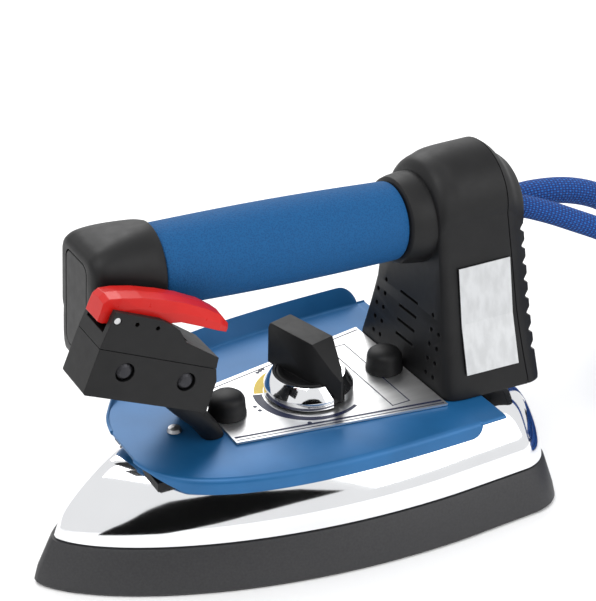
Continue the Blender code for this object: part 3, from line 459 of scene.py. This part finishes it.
def solidify(obj, thickness, offset):
    """Gives a sheet its wall."""
    mod = obj.modifiers.new("Wall", 'SOLIDIFY')
    mod.thickness = thickness * MM
    mod.offset = offset
    apply_modifiers(obj)


def stand_for(obj, body, slot, *nodes):
    """Ties a piece to its body and hides the CAD nodes that it stands for; slot is not used."""
    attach(obj, body)
    if nodes:
        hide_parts(*nodes)
    return obj


def arc(cx, cy, radius, start, end, count):
    """Points on a circular arc, angles in degrees."""
    angles = [math.radians(start + (end - start) * i / (count - 1)) for i in range(count)]
    return [(cx + radius * math.cos(a), cy + radius * math.sin(a)) for a in angles]


def blend_rows(rows, steps):
    """Extra rows between the given ones on a Catmull-Rom curve, for a fair surface."""
    first = tuple(2 * a - b for a, b in zip(rows[0], rows[1]))
    last = tuple(2 * a - b for a, b in zip(rows[-1], rows[-2]))
    padded = [first, *rows, last]
    result = []
    for i in range(1, len(padded) - 2):
        for k in range(steps):
            t = k / steps
            result.append(tuple(
                0.5 * (2 * b + (c - a) * t + (2 * a - 5 * b + 4 * c - d) * t ** 2
                       + (3 * b - a - 3 * c + d) * t ** 3)
                for a, b, c, d in zip(*padded[i - 1:i + 3])))
    return result + [tuple(rows[-1])]


def axis_z(x):
    """Height of the handle's axis at a station."""
    return AXIS_HEIGHT + AXIS_SLOPE * x


def iron_outline(nose=0.0, flank=0.0, heel=0.0, corner=18.0, fine=64):
    """Plan of the iron drawn in by the given insets: a pointed arch with a rounded square heel."""
    x0, x1, half = NOSE_X + nose, HEEL_X - heel, SOLE_HALF - flank
    full = 0.76 * (x1 - x0)
    side = []
    for i in range(fine):
        d = 0.002 + 0.998 * (i / (fine - 1)) ** 2
        side.append((x0 + d * full, half * (1 - (1 - d) ** 2) ** 0.7))
    side += arc(x1 - corner, half * 0.985 - corner, corner, 90, 0, 24)
    return side + [(x, -y) for x, y in reversed(side)]


def level(outline, z):
    """The outline laid flat at one height."""
    return [(x, y, z) for x, y in outline]


# ---------------------------------------------------------------- sole and cover

def make_sole():
    """Coated sole with its flared foot and two rows of steam vents."""
    rings = [level(iron_outline(n, f, h), z) for z, n, f, h in SOLE_LEVELS]
    sole = loft("sole_visual", rings, "sole_coating")
    bore = ((0, -2), (VENT_R, -2), (VENT_R, VENT_DEPTH), (0, VENT_DEPTH))
    vents = [turned(f"vent_{x}_{side}", bore, (x, side * (4 + 2.9 * i), 0), UP, 16, "sole_coating")
             for i, x in enumerate(VENT_PLACES) for side in (-1, 1)]
    combine(sole, vents)
    stand_for(sole, "iron", "sole_coating", "soleplate")


def make_cover():
    """Polished shell, open below, with its holes for the studs and the shaft and its service hole."""
    rings = [level(iron_outline(n, f, h, c), z) for z, n, f, h, c in blend_rows(COVER_LEVELS, 8)]
    top = rings[-1]
    rings.append([(x * 0.93, y * 0.86, COVER_TOP + 0.02) for x, y, z in top])
    cover = loft("cover_visual", rings, "polished_steel", closed=False)
    solidify(cover, COVER_WALL, -1)
    holes = (*STUD_AND_SHAFT_HOLES, SERVICE_HOLE)
    combine(cover, through_holes("cover_hole", holes, 40, 60, "polished_steel"))
    stand_for(cover, "iron", "polished_steel", "chrome_cover")


# ---------------------------------------------------------------- shield and scale

def shield_half(x):
    """Half width of the shield at a station."""
    reach = (SHIELD_REAR_X - x) / (SHIELD_REAR_X - SHIELD_NOSE_X)
    return SHIELD_HALF * max(0.0, 1 - reach ** 2.9) ** (1 / 2.9)


def shield_heights(x):
    """Depth of the near skirt and height of the far flange at a station."""
    d = x - SHIELD_NOSE_X

    def edge(full, start, rise, end, run_out):
        """Grows from the nose to its full size, then runs out at the rear on a quarter ellipse."""
        if d < end:
            return min(full, rise * max(0.0, d - start))
        return full * math.sqrt(max(0.0, 1 - ((d - end) / run_out) ** 2))

    return max(edge(6.0, 1, 0.5, 134, 5.5), 0.8), max(edge(9.0, 4, 0.4, 138, 8.5), 0.8)


def make_shield():
    """Blue sheet with its near edge folded down and its far edge folded up."""
    mid = SHIELD_TOP - SHIELD_WALL / 2
    span = SHIELD_REAR_X - SHIELD_NOSE_X
    distances = [0.5 + (126 - 0.5) * (i / 60) ** 1.8 for i in range(61)]
    distances += [126 + 0.5 * i for i in range(1, 52) if 126 + 0.5 * i < span]
    rows = []
    for d in distances:
        x = SHIELD_NOSE_X + d
        w = shield_half(x)
        skirt, flange = shield_heights(x)
        far = w * 1.07
        s, f = min(1.0, skirt / 3), min(1.0, flange / 3)
        near = [(-w - 0.4 * s, mid - skirt), (-w - 0.25 * s, mid - (skirt + 2.0 * s) / 2)]
        near += [(-w + 2.0 * s - 2.0 * s * math.cos(a), mid - 2.0 * s + 2.0 * s * math.sin(a))
                 for a in (math.pi / 2 * k / 6 for k in range(7))]
        flat = [(-w + 2.0 * s + (far - 2.6 * f + w - 2.0 * s) * k / 8, mid) for k in range(1, 8)]
        rise = [(far - 2.6 * f + 2.6 * f * math.sin(a), mid + 2.6 * f * (1 - math.cos(a)))
                for a in (math.radians(76) * k / 6 for k in range(7))]
        rise += [(far + 0.45 * flange, mid + flange)]
        rows.append([(x, y, z) for y, z in near + flat + rise])
    n = len(rows[0])
    verts = [p for row in rows for p in row]
    faces = [(k * n + i, k * n + i + 1, (k + 1) * n + i + 1, (k + 1) * n + i)
             for k in range(len(rows) - 1) for i in range(n - 1)]
    shield = add_piece("shield_visual", verts, faces, "blue_anodised", 50)
    solidify(shield, SHIELD_WALL, 0)
    holes = (*STUD_AND_SHAFT_HOLES, SHIELD_SCREW_HOLE, SERVICE_HOLE)
    combine(shield, through_holes("shield_hole", holes, 48, 60, "blue_anodised"))
    stand_for(shield, "iron", "blue_anodised", "heat_shield")


def flat_print(name, outline, ink, thickness=0.05):
    """A thin printed shape lying on the scale plate."""
    z = PLATE_TOP
    obj = loft(name, [level(outline, z + 0.01), level(outline, z + 0.01 + thickness)], ink)
    return stand_for(obj, "iron", "satin_aluminium")


def ring_band(inner, outer, start, end, count=48):
    """Band round the knob whose inner and outer radii may change from one end to the other."""
    def point(radii, t):
        a = math.radians(start + (end - start) * t)
        r = radii[0] + (radii[1] - radii[0]) * t
        return (KNOB_X + r * math.cos(a), r * math.sin(a))
    steps = [i / (count - 1) for i in range(count)]
    return [point(outer, t) for t in steps] + [point(inner, t) for t in reversed(steps)]


def make_scale_print():
    """Temperature scale round the knob, border lines of the plate and a blank maker's frame."""
    flat_print("scale_sector", ring_band((19.6, 19.6), (23.6, 23.6), 112, 159), "yellow")
    flat_print("scale_arc", ring_band((20.2, 22.6), (24.4, 24.1), 161, 300), "navy")
    for i, (angle, radius) in enumerate(((110, 26.6), (114, 26.6), (118, 26.6), (182, 26.4), (190, 26.4),
                                         (242, 26.2))):
        x = KNOB_X + radius * math.cos(math.radians(angle))
        y = radius * math.sin(math.radians(angle))
        flat_print(f"scale_dot_{i}", arc(x, y, 0.95, 0, 345, 24), "navy")
    x0, x1 = -31.2, 61.1
    borders = (("near", -1, 3.0, 1.2), ("near_fine", -1, 1.2, 0.5), ("far", 1, 2.2, 0.7))
    for name, side, inset, width in borders:
        a, b = 22 - inset, 38.2 - inset
        line = [(x0 + 1, side * a), (x1 - 1, side * b), (x1 - 1, side * (b - width)),
                (x0 + 1, side * (a - width))]
        flat_print(f"border_{name}", line, "navy")
    lo, hi, right, left, line = 39.5, 48.4, -28.5, 27.0, 0.5
    bars = ((lo, lo + line, right, left), (hi - line, hi, right, left), (lo, hi, right, right + line),
            (lo, hi, left - line, left))
    for i, (a, b, c, d) in enumerate(bars):
        flat_print(f"blank_frame_{i}", [(a, c), (b, c), (b, d), (a, d)], "navy", 0.05 + 0.01 * (i // 2))


# ---------------------------------------------------------------- fasteners and knob

def make_nuts():
    """The two domed cap nuts on the studs."""
    nut = ((3.3, 0), (NUT_R + 0.3, 0), (NUT_R + 0.3, 1.0), (NUT_R + 0.2, 1.3), (NUT_R, 1.6),
           (NUT_R - 0.1, 4.0), (NUT_R - 0.2, 6.2), (NUT_R - 0.5, 7.4), (NUT_R - 1.1, 8.3), (NUT_R - 2.1, 9.1),
           (NUT_R - 3.3, 9.6), (3.6, 9.9), (2.4, 10.1), (1.2, 10.18), (0, 10.2))
    for name, x in (("front", FRONT_STUD_X), ("rear", REAR_STUD_X)):
        obj = turned(f"{name}_nut_visual", nut, (x, 0, PLATE_TOP + 0.3), UP, 72, "black_plastic", 50)
        stand_for(obj, "iron", "black_plastic", f"{name}_cap_nut")


def make_knob():
    """Knob disc with its pointer bar, and the bevelled bright ring notched round the bar."""
    base = PLATE_TOP + 0.8
    disc = ((3.3, 0), (KNOB_R - 2.2, 0), (KNOB_R - 2.2, 3.6), (KNOB_R - 5.4, 9.2), (KNOB_R - 6.0, 9.6),
            (KNOB_R - 7.5, 9.6), (KNOB_R - 8.4, 9.1), (KNOB_R - 10, 8.8), (6, 8.65), (0, 8.6), (0, 6.8),
            (3.3, 6.8), (3.3, 0))
    knob = turned("knob_visual", disc, (KNOB_X, 0, base), UP, 96, "black_plastic")
    c, s = math.cos(KNOB_TURN), math.sin(KNOB_TURN)

    def place(along, across, z):
        """A point given along and across the bar, turned as the knob stands."""
        return (KNOB_X + s * along + c * across, -c * along + s * across, base + z)

    stations = ((-19.2, 6.0, 8.0, 22.5), (-18.9, 6.4, 8.0, 25.2), (-18.0, 6.6, 8.0, 27.0),
                (-17.2, 6.6, 8.0, 27.3), (8.4, 6.6, 7.5, 27.3), (17.0, 3.2, 6.5, 17.0),
                (20.6, 0.7, 2.2, 12.4))
    rings = []
    for a, w, lo, hi in stations:
        e = min(0.7, w * 0.3)
        rings.append([place(a, -w, lo), place(a, w, lo), place(a, w * 0.93, hi - e),
                      place(a, w * 0.9 - e * 0.3, hi), place(a, -w * 0.9 + e * 0.3, hi),
                      place(a, -w * 0.93, hi - e)])
    combine(knob, [loft("knob_bar", rings, "black_plastic")], 'UNION')
    stand_for(knob, "knob", "black_plastic", "thermostat_knob")
    ring = ((KNOB_R - 1.9, 0.2), (KNOB_R - 0.2, 0.2), (KNOB_R, 0.4), (KNOB_R, 3.6), (KNOB_R - 0.1, 3.95),
            (KNOB_R - 3.4, 9.1), (KNOB_R - 3.7, 9.4), (KNOB_R - 5.0, 9.4), (KNOB_R - 1.9, 4.0),
            (KNOB_R - 1.9, 0.2))
    trim = turned("knob_ring_visual", ring, (KNOB_X, 0, base), UP, 96, "polished_steel")
    notch = [[place(a, -w - 0.4, lo - 0.4), place(a, w + 0.4, lo - 0.4), place(a, w + 0.4, hi + 0.5),
              place(a, -w - 0.4, hi + 0.5)] for a, w, lo, hi in
             ((8.0, 6.7, 0.8, 27), (17.2, 3.4, -1.0, 18), (24.0, 1.0, -1.5, 14))]
    rear = [[place(a, y, z) for y, z in ((-6.9, 6.9), (6.9, 6.9), (6.9, 30), (-6.9, 30))] for a in (-24, -9)]
    combine(trim, [loft("ring_notch", notch, None), loft("ring_rear_notch", rear, None)])
    stand_for(trim, "knob", "polished_steel", "knob_ring")


# ---------------------------------------------------------------- handle

def make_grip():
    """Slightly barrelled grip on the sloping handle axis."""
    length = GRIP_REAR_X - GRIP_FRONT_X
    outer = [(GRIP_END_R - 0.8, 0), (GRIP_END_R - 0.25, 0.2), (GRIP_END_R, 0.8)]
    outer += [(GRIP_END_R + GRIP_BARREL * math.sin(math.pi * i / 24), length * i / 24) for i in range(1, 24)]
    outer += [(GRIP_END_R, length - 0.8), (GRIP_END_R - 0.25, length - 0.2), (GRIP_END_R - 0.8, length)]
    profile = outer + [(8.3, length), (8.3, 0), outer[0]]
    at = (GRIP_FRONT_X, 0, axis_z(GRIP_FRONT_X))
    grip = turned("grip_visual", profile, at, HANDLE_AXIS, 128, "blue_grip", 60)
    stand_for(grip, "iron", "blue_grip", "handle_grip")


def rounded_section(half_y, low, high, radius, x, lean=0.0):
    """Rounded rectangle across the iron at a station, leaning along it."""
    radius = min(radius, half_y - 0.05, (high - low) / 2 - 0.05)
    side, top, bottom = half_y - radius, high - radius, low + radius
    pts = arc(side, top, radius, 0, 90, 13) + arc(-side, top, radius, 90, 180, 13)
    pts += arc(-side, bottom, radius, 180, 270, 13) + arc(side, bottom, radius, 270, 360, 13)
    return [(x + lean * (z - (low + high) / 2), y, z) for y, z in pts]


def flat_section(x0, x1, half_y, radius, z):
    """Rounded rectangle lying flat at one height."""
    radius = min(radius, half_y - 0.05, (x1 - x0) / 2 - 0.05)
    side, front, back = half_y - radius, x0 + radius, x1 - radius
    pts = arc(back, side, radius, 0, 90, 10) + arc(front, side, radius, 90, 180, 10)
    pts += arc(front, -side, radius, 180, 270, 10) + arc(back, -side, radius, 270, 360, 10)
    return [(x, y, z) for x, y in pts]


def make_leg():
    """Front leg and handle cap in one moulding, with the cap's recess and room for the nut."""
    z0 = SHIELD_TOP + 0.3
    levels = ((z0, -41.5, -31.6, 14.4, 4.5), (z0 + 4, -43.4, -33.4, 15.2, 4.5),
              (z0 + 9, -47.6, -36.6, 16.2, 5), (z0 + 15, -53, -41.5, 17, 5), (z0 + 25, -62, -49, 17.6, 6),
              (z0 + 34, -74, -55, 18, 6), (z0 + 42, CAP_FRONT_X + 1.6, -58.5, 18.2, 6),
              (z0 + 47, CAP_FRONT_X - 1.7, -59, 18.2, 6), (z0 + 72, CAP_FRONT_X - 0.1, -60, 18.2, 6))
    leg = loft("leg_visual", [flat_section(x0, x1, w, r, z) for z, x0, x1, w, r in blend_rows(levels, 4)],
               "black_plastic")
    mid = axis_z(-70)
    front = CAP_FRONT_X
    stations = ((front, 14.0, 17, 11.8, 4.5, CAP_LEAN), (front + 0.5, 15.4, 18.6, 13.1, 5.6, CAP_LEAN),
                (front + 1.6, 16.6, 20, 14.2, 6.5, CAP_LEAN), (front + 5, CAP_HALF, 21, 16.0, 9, CAP_LEAN),
                (-74, 18.4, 19.5, 17.6, 12, 0.05), (-62, 18.2, 18.2, 18.2, 16, 0.05),
                (GRIP_FRONT_X - 1.2, 17.8, 17.8, 17.8, 17.7, 0.05),
                (GRIP_FRONT_X - 0.3, 17.2, 17.2, 17.2, 17.1, 0.05))
    cap = loft("cap_form", [rounded_section(h, mid - low, mid + high, r, x, lean)
                            for x, h, low, high, r, lean in blend_rows(stations, 4)], "black_plastic")
    combine(leg, [cap], 'UNION')
    recess = [rounded_section(10.6, 103, mid + 10.6, 4, x, CAP_LEAN) for x in (front - 6, front + 2.0)]
    nut = turned("nut_clearance", ((0, 50), (NUT_R + 0.8, 50), (NUT_R + 0.8, 72), (0, 72)),
                 (FRONT_STUD_X, 0, 0), UP, 64, "black_plastic")
    combine(leg, [loft("cap_recess", recess, "black_plastic"), nut])
    stand_for(leg, "iron", "black_plastic", "front_leg")


def make_spring():
    """The lever's return spring, a copy of the CAD node's mesh; the real spring shortens as the lever goes
    down.
    """
    spring = bpy.data.objects.new("spring_visual", NODES["lever_spring"].data.copy())
    bpy.context.scene.collection.objects.link(spring)
    stand_for(spring, "iron", "zinc_steel", "lever_spring")
    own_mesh(spring)


# ---------------------------------------------------------------- rear housing

def arch_section(x, half, top, crown, lean):
    """Cross-section of the housing: narrowing flanks under a round crown. A lean towards the heel
    ends LEAN_REACH above the floor; one towards the nose goes on to the top."""
    knee = half - (half - crown) * 0.55
    foot = HOUSING_FLOOR + 1.5
    flank = [(half, HOUSING_FLOOR), (half - 0.02, foot)]
    flank += [(half - (half - knee) * k / 8 - 0.4 * math.sin(math.pi * k / 8), foot + 30.5 * k / 8)
              for k in range(1, 9)]
    pts = flank + arc(0, top - crown, crown, -8, 188, 49)
    pts += [(-y, z) for y, z in reversed(flank)]
    reach = LEAN_REACH if lean > 0 else math.inf
    return [(x + lean * min(z - HOUSING_FLOOR, reach), y, z) for y, z in pts]


def make_housing():
    """Front part of the rear housing, with the collar for the grip, its slots and its round holes."""
    rings = [arch_section(*section) for section in blend_rows(FRONT_SECTIONS, 5)]
    housing = loft("housing_visual", rings, "black_plastic", fold=(9, len(rings[0]) - 10))
    at = (GRIP_REAR_X + 0.3, 0, axis_z(GRIP_REAR_X + 0.3))
    flare = ((0, 0), (17.1, 0), (17.6, 0.2), (18.4, 0.8), (19.0, 3), (19.4, 6), (20.0, 12), (20.2, 18),
             (0, 18))
    combine(housing, [turned("collar_form", flare, at, HANDLE_AXIS, 96, "black_plastic")], 'UNION')
    slots = []
    w, h = SLOT_HALF, SLOT_HALF_HEIGHT
    for i in range(SLOT_COUNT):
        z = SLOT_FIRST_Z + SLOT_PITCH * i
        corners = ((-w, -h), (w, -h), (w, h), (-w, h))
        slots.append(loft(f"slot_{i}", [[(x, y, z + dz) for y, dz in corners] for x in (55, 70)],
                          "black_plastic"))
    bore = ((0, 0), (HOLE_R, 0), (HOLE_R, 8), (0, 8))
    for y, count in HOLE_COLUMNS:
        for k in range(count):
            slots.append(turned(f"hole_{y}_{k}", bore, (60, y, HOLE_FIRST_Z + HOLE_PITCH * k), (1, 0, 0), 16,
                                "black_plastic"))
    combine(housing, slots)
    stand_for(housing, "iron", "black_plastic", "rear_housing")


def make_rear_cover():
    """Rear cover, grooved into ribs, with the two exits for the leads."""
    cover = loft("rear_cover_visual", [arch_section(*section) for section in blend_rows(REAR_SECTIONS, 4)],
                 "black_plastic")
    tools = []
    for i in range(RIB_COUNT):
        z = RIB_FIRST_Z + RIB_PITCH * i
        curve = [(BACK_X + 4, z - 3.4), (BACK_X, z - 2.3), (BACK_X - 1.9, z - 1.2), (BACK_X - 2.8, z - 0.5),
                 (BACK_X - 3.0, z), (BACK_X - 2.8, z + 0.5), (BACK_X - 1.9, z + 1.2), (BACK_X, z + 2.3),
                 (BACK_X + 4, z + 3.4)]
        tools.append(loft(f"groove_{i}", [[(x, y, zz) for x, zz in curve] for y in (-50, 50)],
                          "black_plastic"))
    exits = (("hose", HOSE_EXIT, HOSE_AIM, HOSE_D), ("cable", CABLE_EXIT, CABLE_AIM, CABLE_D))
    for name, at, aim, diameter in exits:
        r = diameter / 2 + 2.0
        tools.append(turned(f"{name}_exit", ((0, -8), (r, -8), (r, 20), (0, 20)), at, aim, 48,
                            "black_plastic"))
    combine(cover, tools)
    stand_for(cover, "iron", "black_plastic", "rear_cover")


# ---------------------------------------------------------------- leads

def coil_turns(start, sense, layout, final):
    """Turns of a coil as (angle, radius, height); layout gives radius and height of each whole turn."""
    points = []
    for turn, (radius, height) in enumerate(layout):
        following = layout[turn + 1] if turn + 1 < len(layout) else final
        for k in range(COIL_STEPS):
            t = k / COIL_STEPS
            ease = max(0.0, (t - 0.8) / 0.2)
            ease = ease * ease * (3 - 2 * ease)
            r = radius + (following[0] - radius) * ease
            z = height + (following[1] - height) * ease
            points.append((start + sense * 360 * (turn + t), r, z))
    return points


def even_path(points, spacing):
    """The same path in steps of equal length, with its two ends kept."""
    result = [points[0]]
    left = spacing
    for a, b in zip(points, points[1:]):
        step = (b - a).length
        position = 0.0
        while step - position > left:
            position += left
            result.append(a.lerp(b, position / step))
            left = spacing
        left -= step - position
    result.append(points[-1])
    return result


def sweep(name, path, diameter, slot):
    """Round tube along a path, with UV running round and along it in metres."""
    radius = diameter / 2
    sides = LEAD_SIDES
    last = len(path) - 1
    tangents = [(path[min(i + 1, last)] - path[max(i - 1, 0)]).normalized() for i in range(len(path))]
    side = tangents[0].orthogonal().normalized()
    verts, lengths = [], [0.0]
    for i, (p, t) in enumerate(zip(path, tangents)):
        side = (side - t * side.dot(t)).normalized()
        up = t.cross(side)
        verts += [tuple((p + (side * math.cos(a) + up * math.sin(a)) * radius) * MM)
                  for a in (2 * math.pi * k / sides for k in range(sides))]
        if i:
            lengths.append(lengths[-1] + (p - path[i - 1]).length * MM)
    faces = [(i * sides + k, i * sides + (k + 1) % sides, (i + 1) * sides + (k + 1) % sides,
              (i + 1) * sides + k)
             for i in range(last) for k in range(sides)]
    faces += [tuple(range(sides))[::-1], tuple(last * sides + k for k in range(sides))]
    mesh = bpy.data.meshes.new(name)
    mesh.from_pydata(verts, [], faces)
    uv = mesh.uv_layers.new(name="UVMap")
    for f, polygon in enumerate(mesh.polygons):
        i, k = divmod(f, sides)
        if i >= last:
            continue
        corners = ((k, i), (k + 1, i), (k + 1, i + 1), (k, i + 1))
        for loop, (u, row) in zip(polygon.loop_indices, corners):
            uv.data[loop].uv = (u / sides, lengths[row])
    mesh.materials.append(LOOKS[slot])
    mesh.shade_smooth()
    obj = bpy.data.objects.new(name, mesh)
    bpy.context.scene.collection.objects.link(obj)
    return obj, lengths[-1]


def make_lead(name, route, layout, start, sense, tail, diameter, replaced):
    """One lead: its route down from the iron, its coil and the tail that ends in its plug or fitting. The
    route comes in over the first SPIRAL_IN steps of the coil, so those steps have no points."""
    cx, cy = COIL_CENTRE
    turns = coil_turns(start, sense, layout[:-1], layout[-1])
    coil = [(cx + r * math.cos(math.radians(a)), cy + r * math.sin(math.radians(a)), z)
            for a, r, z in turns[SPIRAL_IN:]]
    path = even_path([Vector(p) for p in blend_rows([*route, *coil, *tail], 8)], LEAD_STEP)
    obj, length = sweep(name, path, diameter, "blue_braid")
    stand_for(obj, "iron", "blue_braid", *replaced)


def make_leads():
    """Steam hose and power cable; a layout gives radius and height of each turn, then of the last end."""
    hose_layout = ((72, 6.6), (72, 18.4), (60, 18.4), (60, 6.6), (60, 6.6))
    cable_layout = ((61, 29.8), (51, 29.8), (51, 39.8), (61, 39.8), (58, 49.8))
    cx, cy = COIL_CENTRE
    hose_tail = [(cx + 41.7 * math.sin(a), cy + 14 + 46 * math.cos(a), 6.6 + 3.3 * a / (math.pi / 2))
                 for a in (math.radians(15 * k) for k in range(1, 7))]
    cable_tail = [(cx + 50.8 * math.sin(a), cy - 23.7 - 34.3 * math.cos(a), 49.8 + 8.7 * a / (math.pi / 2))
                  for a in (math.radians(15 * k) for k in range(1, 7))]
    make_lead("steam_hose_visual", HOSE_ROUTE, hose_layout, 90, -1, hose_tail, HOSE_D,
              ("steam_hose_run", "steam_hose_coil"))
    make_lead("power_cable_visual", CABLE_ROUTE, cable_layout, -90, 1, cable_tail, CABLE_D,
              ("power_cable_run", "power_cable_coil"))


# ---------------------------------------------------------------- stage

def make_stage():
    """White floor, even white surroundings and three large area lights."""
    floor = bpy.data.meshes.new("floor")
    h = FLOOR_HALF
    corners = [(-h, -h, 0), (h, -h, 0), (h, h, 0), (-h, h, 0)]
    floor.from_pydata(corners, [], [(0, 1, 2, 3)])
    obj = bpy.data.objects.new("floor", floor)
    bpy.context.scene.collection.objects.link(obj)
    n = Nodes("floor_look", (0.94, 0.94, 0.94), 0.6)
    n.vary("Roughness", n.noise(40), 0.55, 0.7)
    floor.materials.append(n.mat)
    obj.location.z = -FLOOR_DROP
    bpy.context.scene.view_settings.view_transform = 'Standard'
    world = bpy.data.worlds.new("studio")
    world.use_nodes = True
    background = world.node_tree.nodes["Background"]
    background.inputs["Color"].default_value = (1, 1, 1, 1)
    background.inputs["Strength"].default_value = WORLD_STRENGTH
    bpy.context.scene.world = world
    for name, at, size, power in LIGHTS:
        data = bpy.data.lights.new(name, 'AREA')
        data.size = size
        data.energy = power
        light = bpy.data.objects.new(name, data)
        bpy.context.scene.collection.objects.link(light)
        light.location = at
        light.rotation_euler = (Vector(LIGHTS_AIM) - Vector(at)).to_track_quat('-Z', 'Y').to_euler()


def make_flank_card():
    """A black card near the camera that only reflections see: the dark streak on the polished flank."""
    outline = ((-0.205, -0.26), (-0.146, -0.165), (-0.095, -0.112), (-0.051, -0.073), (0.01, -0.05),
               (0.07, -0.046), (0.121, -0.054), (0.195, -0.103), (0.127, -0.126), (0.066, -0.155),
               (0.007, -0.196), (-0.045, -0.242), (-0.115, -0.272))
    mesh = bpy.data.meshes.new("flank_card")
    mesh.from_pydata([(u, v, 0) for u, v in outline], [], [tuple(range(len(outline)))])
    card = bpy.data.objects.new("flank_card", mesh)
    bpy.context.scene.collection.objects.link(card)
    turn = Euler((CAMERA_TILT, 0, CAMERA_TURN)).to_matrix()
    card.rotation_euler = turn.to_euler()
    card.location = Vector(CAMERA_AT) + turn @ Vector((0, 0, -CARD_AHEAD))
    n = Nodes("flank_card_look", (0.004, 0.004, 0.004), 0.9)
    n.vary("Roughness", n.noise(20), 0.85, 0.95)
    n.set("Specular IOR Level", 0.0)
    mesh.materials.append(n.mat)
    card.visible_camera = False
    card.visible_diffuse = False
    card.visible_shadow = False


dress_cad_nodes()
make_leads()
make_sole()
make_cover()
make_shield()
make_scale_print()
make_nuts()
make_knob()
make_grip()
make_leg()
make_spring()
make_housing()
make_rear_cover()
make_stage()
make_flank_card()
